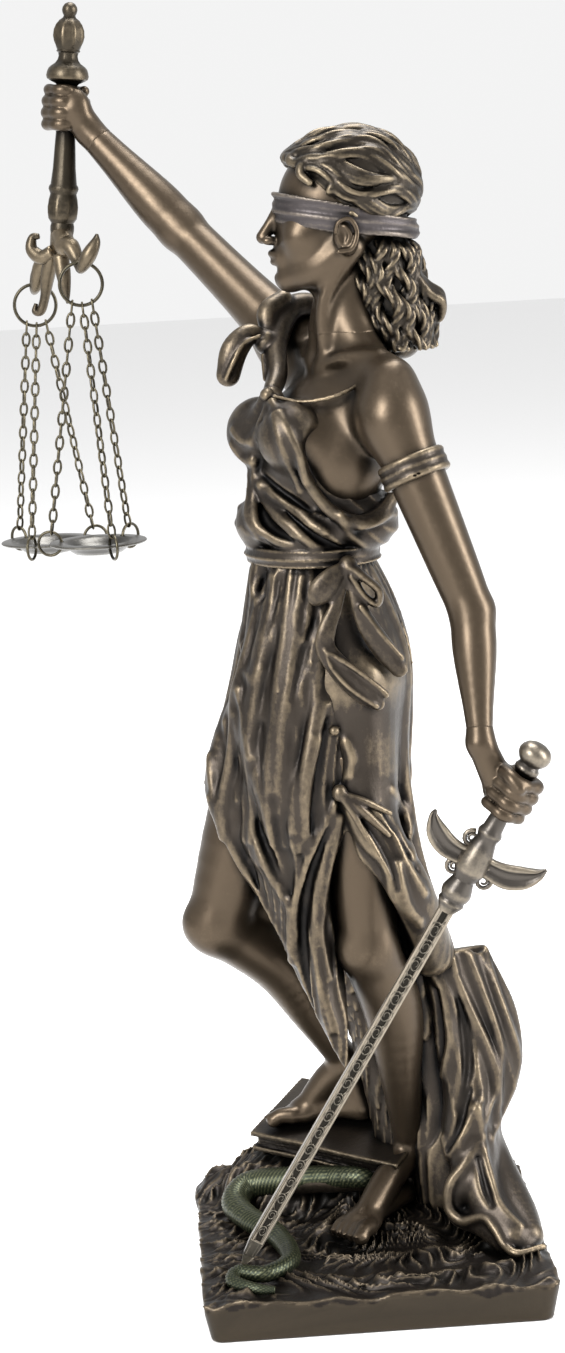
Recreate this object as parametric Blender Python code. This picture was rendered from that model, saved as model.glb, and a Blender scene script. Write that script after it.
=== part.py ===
"""A cast figurine of blindfolded Justice with her sword and her balance.

The shapes are worked out in millimetres and handed to Blender in metres. The origin is the centre
of the plinth's underside, +Z is up, the plinth's sides lie along X and Y, and she looks towards -X.
"""

import math

import bmesh
import bpy
import numpy as np

MM = 0.001

# Plinth, whose sides lean in a little towards the foot
PLINTH_WIDTH = 88.0
PLINTH_DEPTH = 88.0
PLINTH_HEIGHT = 9.5
PLINTH_LEAN = 1.8
PLINTH_CORNER = 3.0

# The figure's places below are heights above the underside of a plinth this high. Another plinth
# height lifts or lowers all that stands on it.
MODELLED_PLINTH = 9.5
RISE = PLINTH_HEIGHT - MODELLED_PLINTH

# Clay: the spacing of the grid in which the figure is modelled, and the faces left on the casting
CLAY_STEP = 1.1
CLAY_MARGIN = 4.0
STATUE_FACES = 4300
EMPTY = 30.0


def unit(vector):
    vector = np.asarray(vector, float)
    return vector / np.linalg.norm(vector)


def smooth_path(points, steps):
    """A smooth run of rows through the given rows of numbers, with some steps between each two."""
    rows = np.array(points, float)
    ends = np.vstack([2 * rows[0] - rows[1], rows, 2 * rows[-1] - rows[-2]])
    made = []
    for before, start, end, after in zip(ends, ends[1:], ends[2:], ends[3:]):
        for t in np.arange(steps) / steps:
            made.append(
                0.5 * (2 * start + (end - before) * t
                       + (2 * before - 5 * start + 4 * end - after) * t**2
                       + (3 * start - before - 3 * end + after) * t**3)
            )
    return np.array(made + [rows[-1]])


class Clay:
    """A block of space on a grid that holds each point's distance to the modelled surface."""

    def __init__(self, low, high, step):
        self.low = np.array(low, float)
        self.step = step
        self.count = np.ceil((np.array(high) - self.low) / step).astype(int) + 1
        self.value = np.full(self.count, EMPTY, np.float32)

    def window(self, low, high):
        """The part of the grid between two corners, and its x, y and z."""
        first = np.floor((np.array(low) - self.low) / self.step).astype(int)
        last = np.ceil((np.array(high) - self.low) / self.step).astype(int) + 1
        first = np.clip(first, 0, self.count)
        last = np.clip(last, 0, self.count)
        part = tuple(slice(a, b) for a, b in zip(first, last))
        x, y, z = (self.low[i] + self.step * np.arange(first[i], last[i]) for i in range(3))
        return part, (x[:, None, None], y[None, :, None], z[None, None, :])

    def join(self, part, distance, blend):
        here = self.value[part]
        meet = np.maximum(blend - np.abs(here - distance), 0) / blend
        self.value[part] = np.minimum(here, distance) - meet * meet * blend / 4

    def cut(self, part, distance, blend):
        here = self.value[part]
        meet = np.maximum(blend - np.abs(here + distance), 0) / blend
        self.value[part] = np.maximum(here, -distance) + meet * meet * blend / 4

    def lump(self, centre, radii, turn=None, blend=2.0, cut=False):
        """An ellipsoid. turn holds its own three axes as rows."""
        reach = max(radii) + blend + 2 * self.step
        part, (x, y, z) = self.window(np.array(centre) - reach, np.array(centre) + reach)
        axes = np.eye(3) if turn is None else np.array([unit(row) for row in turn])
        x, y, z = x - centre[0], y - centre[1], z - centre[2]
        near = far = 0
        for axis, radius in zip(axes, radii):
            along = x * axis[0] + y * axis[1] + z * axis[2]
            near = near + (along / radius) ** 2
            far = far + (along / radius**2) ** 2
        near = np.sqrt(near)
        distance = near * (near - 1) / np.maximum(np.sqrt(far), 1e-6)
        (self.cut if cut else self.join)(part, distance, blend)

    def tube(self, points, blend=2.0, steps=6, flat=None, cut=False):
        """A round limb through rows of x, y, z and radius.

        flat is a direction, and how much thinner the limb is that way.
        """
        rows = smooth_path(points, steps) if len(points) > 1 else np.array(points * 2, float)
        squash = np.eye(3)
        if flat is not None:
            axis = unit(flat[0])
            squash += (flat[1] - 1) * np.outer(axis, axis)
        reach = np.maximum(rows[:, 3], 0).max() + blend + 2 * self.step
        part, _ = self.window(rows[:, :3].min(0) - reach, rows[:, :3].max(0) + reach)
        corner = np.array([s.start for s in part])
        size = [max(s.stop - s.start, 0) for s in part]
        if min(size) == 0:
            return
        nearest = np.full(size, EMPTY, np.float32)
        for a, b in zip(rows, rows[1:]):
            span = max(a[3], b[3], 0) + blend + 2 * self.step
            piece, grid = self.window(np.minimum(a, b)[:3] - span, np.maximum(a, b)[:3] + span)
            inner = tuple(slice(s.start - c, s.stop - c) for s, c in zip(piece, corner))
            offset = [grid[i] - a[i] for i in range(3)]
            run = squash @ (b - a)[:3]
            p = [sum(squash[i, j] * offset[j] for j in range(3)) for i in range(3)]
            t = sum(p[i] * run[i] for i in range(3)) / max(run @ run, 1e-9)
            t = np.clip(t, 0, 1)
            gap = np.sqrt(sum((p[i] - t * run[i]) ** 2 for i in range(3)))
            found = gap - (a[3] + (b[3] - a[3]) * t)
            nearest[inner] = np.minimum(nearest[inner], found)
        (self.cut if cut else self.join)(part, nearest, blend)

    def blank(self):
        """An empty block with the same grid."""
        other = Clay.__new__(Clay)
        other.low, other.step, other.count = self.low, self.step, self.count
        other.value = np.full(self.count, EMPTY, np.float32)
        return other

    def add(self, other, blend):
        self.join((slice(None),) * 3, other.value, blend)

    def trim(self, point, normal, blend=0.6):
        """Cuts away what lies beyond a plane."""
        part, grid = self.window(self.low, self.low + self.step * self.count)
        gap = sum((grid[i] - point[i]) * unit(normal)[i] for i in range(3))
        self.cut(part, -gap, blend)

    def lay(self, rows, blend=2.0, side=0.0, sink=0.3, steps=5, cut=False):
        """A fold laid on the surface. rows hold how far right and how high it lies, and its radius, as seen
        from a side: 0 from -Y, 90 from +X. sink is the share of the radius that lies below the surface."""
        turn = math.radians(side)
        right = np.array([math.cos(turn), math.sin(turn), 0])
        back = np.array([math.sin(turn), -math.cos(turn), 0])
        laid = []
        for across, high, radius in smooth_path(rows, steps):
            found = self.hit(right * across + back * 75 + UP * high, -back, 150)
            if found is not None:
                laid.append(row(found - back * radius * sink, radius))
        if len(laid) > 1:
            self.tube(laid, blend, 1, cut=cut)

    def sample(self, points):
        """The distance at each of some points, from the eight grid points around it."""
        place = (np.asarray(points, float) - self.low) / self.step
        place = np.clip(place, 0, self.count - 1.001)
        base = place.astype(int)
        part = place - base
        total = 0
        for corner in np.ndindex(2, 2, 2):
            weight = np.prod(np.where(corner, part, 1 - part), axis=1)
            i, j, k = (base + corner).T
            total = total + weight * self.value[i, j, k]
        return total

    def hit(self, start, way, reach):
        """Where a ray that comes from outside first meets the surface."""
        steps = np.arange(0, reach, self.step / 2)
        line = np.asarray(start, float) + steps[:, None] * unit(way)
        inside = np.nonzero(self.sample(line) < 0)[0]
        return line[inside[0]] if len(inside) else None

    def faces(self):
        """Points and four-sided faces of the surface, which faces outwards."""
        value = self.value
        inside = value < 0
        corners = list(np.ndindex(2, 2, 2))
        cells = self.count - 1
        held = sum(
            inside[i : i + cells[0], j : j + cells[1], k : k + cells[2]].astype(np.int8)
            for i, j, k in corners
        )
        active = (held > 0) & (held < 8)
        where = np.argwhere(active)
        number = np.full(cells, -1, np.int64)
        number[active] = np.arange(len(where))
        total = np.zeros((len(where), 3))
        hits = np.zeros(len(where))
        for axis in range(3):
            for start in corners:
                if start[axis]:
                    continue
                a = where + start
                b = a.copy()
                b[:, axis] += 1
                va, vb = value[tuple(a.T)], value[tuple(b.T)]
                crossed = (va < 0) != (vb < 0)
                t = np.where(crossed, va / np.where(crossed, va - vb, 1), 0)
                point = a.astype(float)
                point[:, axis] += t
                total += point * crossed[:, None]
                hits += crossed
        points = self.low + self.step * total / hits[:, None]
        quads = []
        for axis in range(3):
            u, v = (axis + 1) % 3, (axis + 2) % 3
            first = [slice(1, -1)] * 3
            second = [slice(1, -1)] * 3
            first[axis], second[axis] = slice(0, -1), slice(1, None)
            here, there = inside[tuple(first)], inside[tuple(second)]
            for solid_first in (True, False):
                found = np.argwhere((here != there) & (here == solid_first))
                found[:, u] += 1
                found[:, v] += 1
                ring = []
                for du, dv in ((-1, -1), (0, -1), (0, 0), (-1, 0)):
                    cell = found.copy()
                    cell[:, u] += du
                    cell[:, v] += dv
                    ring.append(number[tuple(cell.T)])
                quads.append(np.stack(ring if solid_first else ring[::-1], 1))
        return points, np.vstack(quads)


# The figure. She stands about 268 mm tall, and her chest faces between -X and -Y.
TURN = math.radians(25)
FRONT = np.array([-math.cos(TURN), -math.sin(TURN), 0.0])
LEFT = np.array([math.sin(TURN), -math.cos(TURN), 0.0])
UP = np.array([0.0, 0.0, 1.0])
BODY_AXES = [FRONT, LEFT, UP]


def off(centre, front=0.0, left=0.0, up=0.0):
    """A point given from another one along her own front, left and up."""
    return np.array(centre, float) + front * FRONT + left * LEFT + up * UP


def row(point, radius):
    return (*point, radius)


PELVIS = (-3.0, 0.0, 158.0)
WAIST = (-6.2, 0.0, 187.0)
CHEST = (-1.5, 0.0, 212.0)
SHOULDERS = (5.5, 0.0, 228.0)
NECK = (5.6, 1.0, 232.0)
SKULL = (7.0, 1.0, 273.5)

LEFT_KNEE = (2.9, -9.5, 88.6)
LEFT_ANKLE = (12.3, 9.0, 28.0)
LEFT_TOES = (-6.0, -13.0, 15.0)
RIGHT_KNEE = (-34.4, 8.0, 92.5)
RIGHT_ANKLE = (-2.4, 22.0, 49.0)
RIGHT_TOES = (-20.0, 27.0, 34.0)
LEFT_SHOULDER = (14.6, -22.5, 222.0)
LEFT_ELBOW = (30.4, -33.0, 176.0)
LEFT_WRIST = (30.0, -43.0, 146.0)
LEFT_FIST = (36.6, -44.9, 133.6)
RIGHT_SHOULDER = (-6.0, 23.0, 238.0)
RIGHT_ELBOW = (-32.5, 43.0, 267.5)
RIGHT_WRIST = (-54.6, 52.5, 293.3)
RIGHT_FIST = (-60.1, 55.0, 299.5)


def along(a, b, t):
    return np.array(a) + (np.array(b) - np.array(a)) * t


def model_legs(clay):
    left_hip, right_hip = off(PELVIS, 0, 10, -3), off(PELVIS, 0, -11, -3)
    clay.tube([row(left_hip, 12.0), row(along(left_hip, LEFT_KNEE, 0.5), 9.8), row(LEFT_KNEE, 7.2)])
    calf = along(LEFT_KNEE, LEFT_ANKLE, 0.3) + (3.0, 1.5, 0)
    shin = along(LEFT_KNEE, LEFT_ANKLE, 0.65) + (1.4, 0, 0)
    clay.tube([row(LEFT_KNEE, 7.4), row(calf, 7.6), row(shin, 5.2), row(LEFT_ANKLE, 3.7)], 3.0)
    thigh = along(right_hip, RIGHT_KNEE, 0.5) - (1.6, 0, 0)
    clay.tube([row(right_hip, 13.0), row(thigh, 11.4), row(RIGHT_KNEE, 7.8)])
    calf = along(RIGHT_KNEE, RIGHT_ANKLE, 0.33) + (4.0, 1.5, 1.6)
    shin = along(RIGHT_KNEE, RIGHT_ANKLE, 0.68) + (1.5, 0.5, 0.8)
    clay.tube([row(RIGHT_KNEE, 7.6), row(calf, 7.4), row(shin, 5.0), row(RIGHT_ANKLE, 3.8)], 3.0)
    for ankle, toes in ((LEFT_ANKLE, LEFT_TOES), (RIGHT_ANKLE, RIGHT_TOES)):
        model_foot(clay, np.array(ankle), np.array(toes))


def model_foot(clay, ankle, toes):
    ahead = unit((toes - ankle) * (1, 1, 0))
    side = np.array([-ahead[1], ahead[0], 0])
    heel = ankle - 3.5 * ahead
    heel[2] = toes[2] + 3.2
    ball = toes - 6.0 * ahead + (0, 0, 1.2)
    clay.tube([row(ankle, 3.9), row(along(ankle, ball, 0.45) + (0, 0, 1.0), 4.0), row(ball, 3.2)], 2.5)
    clay.tube([row(ankle - (0, 0, 2), 3.8), row(heel, 3.9)], 2.0)
    clay.tube([row(heel - (0, 0, 0.4), 3.4), row(along(heel, ball, 0.5), 3.0), row(ball, 3.2)], 2.0)
    clay.lump(ball, (4.2, 5.4, 2.8), [ahead, side, UP], 2.0)
    for place, size in ((-3.9, 1.15), (-2.1, 1.3), (-0.3, 1.4), (1.6, 1.5), (3.9, 2.0)):
        root = ball + place * side * 0.95 + 2.0 * ahead
        tip = toes + place * side + (0.25 * place) * ahead - (0, 0, 2.0 - size)
        knuckle = along(root, tip, 0.6) + (0, 0, 0.7)
        clay.tube([row(root, size + 0.4), row(knuckle, size), row(tip, size)], 0.8)


def model_torso(clay):
    clay.lump(PELVIS, (16.5, 23.0, 17.0), BODY_AXES, 6.0)
    clay.lump(off(PELVIS, -7, 9, -4), (11, 11, 12), None, 5.0)
    clay.lump(off(PELVIS, -7, -9, -4), (11, 11, 12), None, 5.0)
    clay.lump(along(PELVIS, WAIST, 0.6), (13.0, 18.0, 15.0), BODY_AXES, 8.0)
    clay.lump(WAIST, (12.5, 16.0, 14.0), BODY_AXES, 8.0)
    clay.lump(CHEST, (14.5, 20.5, 18.0), BODY_AXES, 8.0)
    clay.lump(off(SHOULDERS, -1.5, 0, -3), (10.5, 23.0, 9.0), BODY_AXES, 7.0)
    for side in (-1, 1):
        clay.lump(off(CHEST, 11.5, 8.3 * side, 6.0), (8.2, 7.8, 7.8), BODY_AXES, 4.0)
    clay.tube([row(off(NECK, -1, 0, -4), 9.0), row(off(NECK, 0, 0, 5), 7.6), (6.5, 1.0, 256.0, 7.2)], 5.0)
    for side in (-1, 1):
        tip = off(SHOULDERS, 0, 22 * side, 3)
        middle = along(NECK, tip, 0.5) + (0, 0, 3.5)
        clay.tube([(6.5, 1.0 - 2 * side, 246.0, 4.0), row(middle, 5.0), row(tip, 5.5)], 6.0)


def model_arms(clay):
    clay.lump(LEFT_SHOULDER, (8.0, 8.0, 9.0), None, 6.0)
    clay.tube(
        [row(LEFT_SHOULDER, 7.6), row(along(LEFT_SHOULDER, LEFT_ELBOW, 0.35), 6.8),
         row(along(LEFT_SHOULDER, LEFT_ELBOW, 0.8), 5.9), row(LEFT_ELBOW, 5.3)], 4.0)
    clay.tube(
        [row(LEFT_ELBOW, 5.2), row(along(LEFT_ELBOW, LEFT_WRIST, 0.3), 5.3),
         row(along(LEFT_ELBOW, LEFT_WRIST, 0.75), 3.6), row(LEFT_WRIST, 3.0)], 2.0)
    clay.lump(RIGHT_SHOULDER, (9.0, 9.0, 9.0), None, 6.0)
    clay.tube(
        [row(RIGHT_SHOULDER, 8.3), row(along(RIGHT_SHOULDER, RIGHT_ELBOW, 0.4), 6.6),
         row(along(RIGHT_SHOULDER, RIGHT_ELBOW, 0.85), 5.8), row(RIGHT_ELBOW, 5.9)], 4.0)
    clay.tube(
        [row(RIGHT_ELBOW, 5.9), row(along(RIGHT_ELBOW, RIGHT_WRIST, 0.25), 6.1),
         row(along(RIGHT_ELBOW, RIGHT_WRIST, 0.7), 4.5), row(RIGHT_WRIST, 3.7)], 2.0)


def model_head(clay):
    x, y, z = SKULL
    clay.lump(SKULL, (16.0, 12.4, 14.6), None, 3.0)
    clay.lump((x - 7.5, y, z - 9.5), (9.6, 9.6, 12.0), None, 4.0)
    for side in (-1, 1):
        clay.tube([row((x - 1, y + 9.3 * side, z - 11), 3.2), row((x - 8, y + 6.6 * side, z - 16.5), 3.0),
                   row((x - 14, y + 1.5 * side, z - 18.2), 2.6)], 3.0)
        clay.lump((x - 11.0, y + 6.4 * side, z - 8.0), (4.2, 3.4, 3.8), None, 3.0)
    clay.lump((x - 14.4, y, z - 17.8), (3.0, 3.6, 3.0), None, 2.5)
    clay.tube([(x - 16.0, y, z - 1.0, 1.3), (x - 18.2, y, z - 5.0, 1.3), (x - 19.6, y, z - 8.0, 1.7)], 1.6)
    for side in (-1, 1):
        clay.lump((x - 17.9, y + 1.9 * side, z - 8.6), (1.8, 1.3, 1.2), None, 1.0)
    clay.lump((x - 17.0, y, z - 12.0), (1.7, 3.4, 0.95), None, 1.0)
    clay.lump((x - 16.5, y, z - 14.1), (1.7, 2.9, 1.1), None, 1.0)
    clay.tube([row((x - 18.8, y - 3.2, z - 13.0), 0.35), row((x - 18.9, y, z - 12.9), 0.35),
               row((x - 18.8, y + 3.2, z - 13.0), 0.35)], 0.5, cut=True)


BAND_FRONT = 272.0
BAND_BACK = 265.5
BAND_HALF = 4.6


def field_of_band(x, y, z):
    """The blindfold: a band round the head that drops towards the back."""
    middle = BAND_FRONT + (BAND_BACK - BAND_FRONT) * np.clip((x - SKULL[0] + 17) / 34, 0, 1)
    wide = np.sqrt(((x - SKULL[0] - 0.2) / 17.6) ** 2 + ((y - SKULL[1]) / 13.9) ** 2)
    return np.maximum((wide - 1) * 14, np.abs(z - middle) - BAND_HALF)


HAIR = (9.0, 1.0, 276.5)
HAIR_RADII = (17.6, 13.4, 13.4)
LOCKS = 11
CURLS = 9
LOCK_RADIUS = 2.3
EAR_AXES = [(1, 0, 0.25), (0, 1, 0), (-0.25, 0, 1)]


def on_hair(across, back, lift=0.0):
    """A point on the cap of hair.

    across turns from the crown to her left, and back turns from her forehead to her nape.
    """
    across, back = math.radians(across), math.radians(back)
    low = math.sin(back)
    ball = np.array([-math.cos(back), -low * math.sin(across), low * math.cos(across)])
    return np.array(HAIR) + ball * (np.array(HAIR_RADII) + lift)


def model_hair(clay):
    """Locks combed back from her forehead, and curls that fall on her neck."""
    clay.lump(HAIR, HAIR_RADII, None, 1.0)
    part, (x, y, z) = clay.window((-14, -16, 258), (30, 18, 280))
    clay.join(part, field_of_band(x, y, z), 0.8)
    for k in range(LOCKS):
        across = -108 + 216 * k / (LOCKS - 1)
        rows = []
        for back in range(28, 148, 12):
            wave = 9 * math.sin(math.radians(4.6 * back + 75 * k))
            rows.append(row(on_hair(across + wave, back, 0.3), LOCK_RADIUS))
        clay.tube(rows, 0.4, 3)
    clay.tube([(14.0, 1, 265, 8.4), (16.0, 1, 256, 8.4), (18.5, 1.5, 247, 8.0), (19.4, 1.5, 238, 5.4)], 2.0)
    for k in range(CURLS):
        turn = math.radians(-72 + 216 * k / (CURLS - 1))
        rows = []
        for j in range(8):
            out = 9.0 + 0.5 * math.sin(0.45 * j) - 0.5 * max(j - 4, 0) - 2.0 * max(2 - j, 0)
            swing = turn + 0.30 * math.sin(1.25 * j + 2.1 * k)
            rows.append((14.5 + 0.65 * j + out * math.sin(swing) * 0.95, 1 - out * math.cos(swing),
                         265 - 4.2 * j, LOCK_RADIUS * (1 - 0.05 * j)))
        clay.tube(rows, 0.4, 3)
    clay.tube([(22, -3, 256, 2.8), (26, -3, 251, 2.8), (29.3, -2, 248.5, 2.5), (29.0, 0, 244.5, 2.0),
               (26.5, 0, 244.5, 1.6)], 1.0)
    clay.lump((6.0, -11.6, 264.8), (2.9, 1.6, 4.6), EAR_AXES, 0.6)
    clay.lump((5.2, -13.3, 265.6), (1.3, 1.0, 2.4), None, 0.6, cut=True)
    clay.lump((6.0, 13.6, 264.8), (2.9, 1.6, 4.6), EAR_AXES, 0.6)


DRESS_EDGE = (
    (-13.5, -12.0, 226.5, 1.3), (-11.5, -18.4, 221.7, 1.5), (-8.6, -20.0, 216.6, 1.5),
    (-6.8, -19.6, 209.0, 1.6), (-3.6, -19.4, 203.0, 1.8), (0.8, -19.6, 198.8, 2.0),
    (6.0, -18.6, 197.0, 2.0),
    (11.0, -15.5, 198.5, 2.0), (15.0, -10.0, 202.5, 1.8), (17.0, -3.0, 206.5, 1.5),
)
BODICE_FOLDS = (
    (1.1, 1.3, ((-14.8, 226), (-17.3, 220), (-18.8, 213), (-19.2, 203), (-18.8, 195))),
    (1.2, 1.4, ((-17.0, 213), (-17.6, 205), (-17.6, 199), (-16.0, 194.5), (-11.0, 192))),
    (1.4, 1.6, ((-17.0, 207.5), (-13.5, 203.5), (-9.8, 201), (-6.8, 198), (-2.5, 195))),
    (1.2, 1.5, ((-16.5, 205), (-14.0, 200), (-10.5, 197), (-6.5, 193.5), (-3.5, 191))),
    (1.5, 1.6, ((-21.0, 193), (-12.5, 191), (-5.5, 190), (2.9, 189.5), (11.0, 189.5))),
    (1.3, 1.4, ((2.0, 198), (3.4, 194.5), (6.0, 192), (10.0, 190.5))),
    (1.2, 1.3, ((7.0, 195.5), (11.5, 196.5), (15.5, 199.5))),
    (1.2, 1.3, ((-22.0, 203), (-21.4, 198), (-18.8, 194.5))),
    (1.0, 1.1, ((-14.0, 226), (-12.5, 221), (-10.0, 214), (-9.0, 208), (-6.0, 203))),
)
BODICE_VALLEYS = (
    ((-20.5, 203, 1.2), (-19.0, 197, 1.8), (-16.0, 193.5, 1.6), (-12.0, 191, 1.2)),
    ((-18.5, 206, 1.0), (-15.0, 201.5, 1.6), (-11.0, 199, 1.5), (-7.5, 197.5, 1.2)),
)
BLOUSE_BACK_FOLDS = (
    (1.4, 1.6, ((-12, 202), (-4, 198), (4, 194), (12, 191))),
    (1.4, 1.6, ((-14, 208), (-6, 206), (4, 202), (14, 196))),
    (1.4, 1.6, ((-12, 214), (-2, 213), (6, 208), (12, 203))),
)


def model_bodice(clay):
    """The blouse: from the knot on her chest to the belt, with her left side bare under the arm."""
    blouse = clay.blank()
    blouse.lump((-3.0, 0, 207), (15.0, 18.4, 14.0), BODY_AXES, 4.0)
    blouse.lump((-4.5, 0, 195), (16.2, 20.0, 9.5), BODY_AXES, 4.0)
    blouse.lump(off((-2.5, 0, 195), -5, 12, 1), (9, 8, 7.0), BODY_AXES, 3.0)
    blouse.lump((-18.4, -0.5, 196), (5.4, 8, 6.5), BODY_AXES, 3.0)
    for side in (-1, 1):
        blouse.lump(off(CHEST, 12.3, 8.3 * side, 6.0), (8.6, 8.6, 8.8), BODY_AXES, 4.0)
    blouse.tube([(-13.5, -7, 227, 3.0), (-15.5, -4, 219, 5.0)], 3.0)
    blouse.lump((5.5, -22.5, 212.5), (13.5, 8.0, 13.8), None, 1.2, cut=True)
    blouse.tube(DRESS_EDGE, 1.2)
    for valley in BODICE_VALLEYS:
        blouse.lay(valley, 1.0, sink=0.2, cut=True)
    lay_folds(blouse, BODICE_FOLDS, 0.0, 1.2)
    lay_folds(blouse, BLOUSE_BACK_FOLDS, 180.0, 1.8)
    blouse.tube(ring_rows((-5.2, 0, 186.5), 14.2, 17.6, 2.3, 24), 1.0, 2)
    clay.add(blouse, 0.6)


def ring_rows(centre, front, side, radius, count, tilt=0.0):
    """Rows of a closed loop round a centre, longer along her left than along her front."""
    rows = []
    for k in range(count + 1):
        turn = 2 * math.pi * k / count
        point = off(centre, front * math.cos(turn), side * math.sin(turn), tilt * math.cos(turn))
        rows.append(row(point, radius))
    return rows


SLIT = (
    (-1.0, -18.0, 121.5, 0.2), (-1.6, -18.0, 112.0, 3.4), (0.6, -17.0, 103.0, 7.0),
    (3.6, -17.0, 92.0, 9.0), (7.0, -16.0, 78.0, 10.6), (8.5, -15.0, 60.0, 12.5), (8.0, -15.0, 40.0, 15.0),
)

# Folds: the radius at each end, and the places that a fold passes, as x and z seen from -Y
FRONT_FOLDS = (
    (1.5, 1.9, ((-14.3, 178), (-17.7, 165), (-21.0, 156), (-19.8, 141), (-19.0, 132), (-16.5, 117),
                (-14.5, 106))),
    (1.3, 1.5, ((-24.5, 174), (-24.0, 166), (-21.8, 159), (-19.0, 163))),
    (1.3, 1.6, ((-26.3, 153), (-25.0, 146), (-23.0, 139))),
    (1.6, 1.8, ((-26.8, 149), (-26.5, 140), (-25.5, 128), (-22.8, 113), (-16.5, 101))),
    (1.4, 1.5, ((-29.6, 146), (-29.2, 137), (-29.6, 127), (-27.5, 117))),
    (1.4, 1.3, ((-32.5, 137), (-32.6, 128), (-30.5, 118), (-26.5, 107))),
    (1.5, 1.5, ((-11.2, 187), (-12.3, 177), (-17.5, 159), (-20.0, 150))),
    (1.5, 1.5, ((-8.6, 187), (-9.7, 178), (-15.2, 163), (-19.0, 149))),
    (2.2, 3.6, ((-8.6, 169), (-12.6, 158), (-14.5, 147), (-14.6, 135), (-13.5, 122))),
    (1.6, 1.6, ((-4.6, 153), (-7.3, 146), (-11.5, 136), (-14.0, 122), (-13.8, 113))),
    (1.5, 1.5, ((-3.5, 146), (-7.0, 138), (-11.2, 128), (-12.2, 118))),
    (1.0, 1.0, ((-3.6, 146), (-3.8, 138), (-2.9, 133))),
)
FRONT_VALLEYS = (
    ((-21.5, 154, 1.0), (-21.0, 144, 2.2), (-19.8, 132, 2.6), (-17.5, 118, 2.4), (-14.5, 106, 1.2)),
    ((-26.0, 143, 1.0), (-23.5, 132, 1.5), (-22.0, 122, 1.6), (-18.5, 113, 1.4), (-15.0, 106, 1.0)),
    ((-12.0, 173, 1.0), (-15.8, 159, 1.4), (-18.0, 150, 1.4), (-18.0, 140, 1.2)),
    ((-7.0, 170, 1.0), (-9.8, 160, 1.4), (-12.4, 150, 1.2)),
    ((-5.5, 153, 1.0), (-8.5, 143, 1.4), (-10.0, 130, 1.4), (-10.0, 117, 1.2)),
)
PANEL_FOLDS = (
    (1.4, 1.6, ((-3.6, 128), (-8.5, 119), (-13.0, 110), (-15.2, 99), (-14.4, 84), (-9.5, 70), (-5.5, 62))),
    (1.6, 1.5, ((-2.6, 125), (-7.0, 114), (-9.6, 104), (-10.4, 94), (-9.0, 82), (-5.5, 66))),
    (1.2, 1.3, ((-1.8, 124), (-5.5, 112), (-8.0, 100), (-7.6, 88), (-5.4, 76))),
)
BACK_FOLDS = (
    (1.4, 1.8, ((-0.8, 127), (1.5, 121), (6.0, 114), (9.5, 106), (11.0, 97), (14.5, 88))),
    (1.3, 1.6, ((3.5, 127), (8.5, 122), (12.0, 115), (17.0, 104))),
    (1.3, 1.6, ((10.5, 112), (13.0, 106), (15.0, 98), (19.0, 91))),
)
FAR_FOLDS = (
    (1.4, 1.8, 200.0, ((-6, 182), (-12, 160), (-14, 140), (-20, 110), (-22, 85))),
    (1.4, 2.0, 180.0, ((8, 184), (10, 160), (8, 135), (2, 110), (-6, 80), (-14, 50), (-20, 25))),
    (1.4, 2.0, 180.0, ((1, 184), (0, 160), (-3, 135), (-8, 110), (-16, 80), (-24, 50), (-30, 22))),
    (1.4, 2.2, 180.0, ((-7, 182), (-9, 160), (-10, 135), (-14, 105), (-22, 80), (-30, 60), (-34, 38))),
    (1.4, 1.8, 150.0, ((6, 184), (8, 165), (8, 140), (4, 115), (0, 90), (-6, 60), (-12, 25))),
    (1.4, 1.8, 150.0, ((-2, 184), (-2, 160), (-6, 135), (-10, 110), (-16, 80), (-22, 50), (-26, 22))),
    (1.4, 1.6, 225.0, ((2, 182), (6, 160), (12, 138), (18, 124), (22, 116))),
    (1.4, 1.6, 225.0, ((10, 182), (14, 162), (18, 146), (24, 134))),
)
TRAIN_FOLDS = (
    (1.4, 1.6, ((16.0, 79), (18.0, 68), (18.8, 58), (19.2, 48), (20.6, 33))),
    (1.8, 1.8, ((18.5, 80), (21.5, 74), (23.0, 64), (22.0, 54), (19.8, 44))),
    (2.0, 2.4, ((29.4, 79), (32.0, 72), (35.5, 60), (34.5, 49), (29.6, 39))),
    (1.4, 1.4, ((34.5, 82), (36.8, 72), (40.0, 60), (40.6, 52), (36.8, 41), (32.5, 36))),
    (1.3, 1.6, ((29.6, 45), (25.5, 39), (22.0, 33))),
)
TRAIN_TOP = 84.5
TRAIN_ROLL = (
    (29.5, -8.5, 35.5, 1.6), (24.5, -11.0, 30.5, 2.2), (20.8, -11.5, 25.5, 2.4), (20.0, -12.0, 19.5, 2.4),
    (23.0, -14.5, 16.6, 2.2), (28.0, -18.2, 19.0, 2.0), (30.5, -21.5, 17.0, 1.9), (32.5, -24.0, 13.5, 1.9),
    (35.5, -27.0, 12.0, 1.7), (42.0, -25.0, 12.8, 1.1),
)


FOLD_SWELL = 1.12
FOLD_SINK = 0.05


def lay_folds(clay, folds, side=0.0, blend=1.6):
    for first, last, places in folds:
        count = len(places)
        rows = []
        for k, (x, z) in enumerate(places):
            rows.append((x, z, FOLD_SWELL * (first + (last - first) * k / (count - 1))))
        clay.lay(rows, blend, side, FOLD_SINK)


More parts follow.
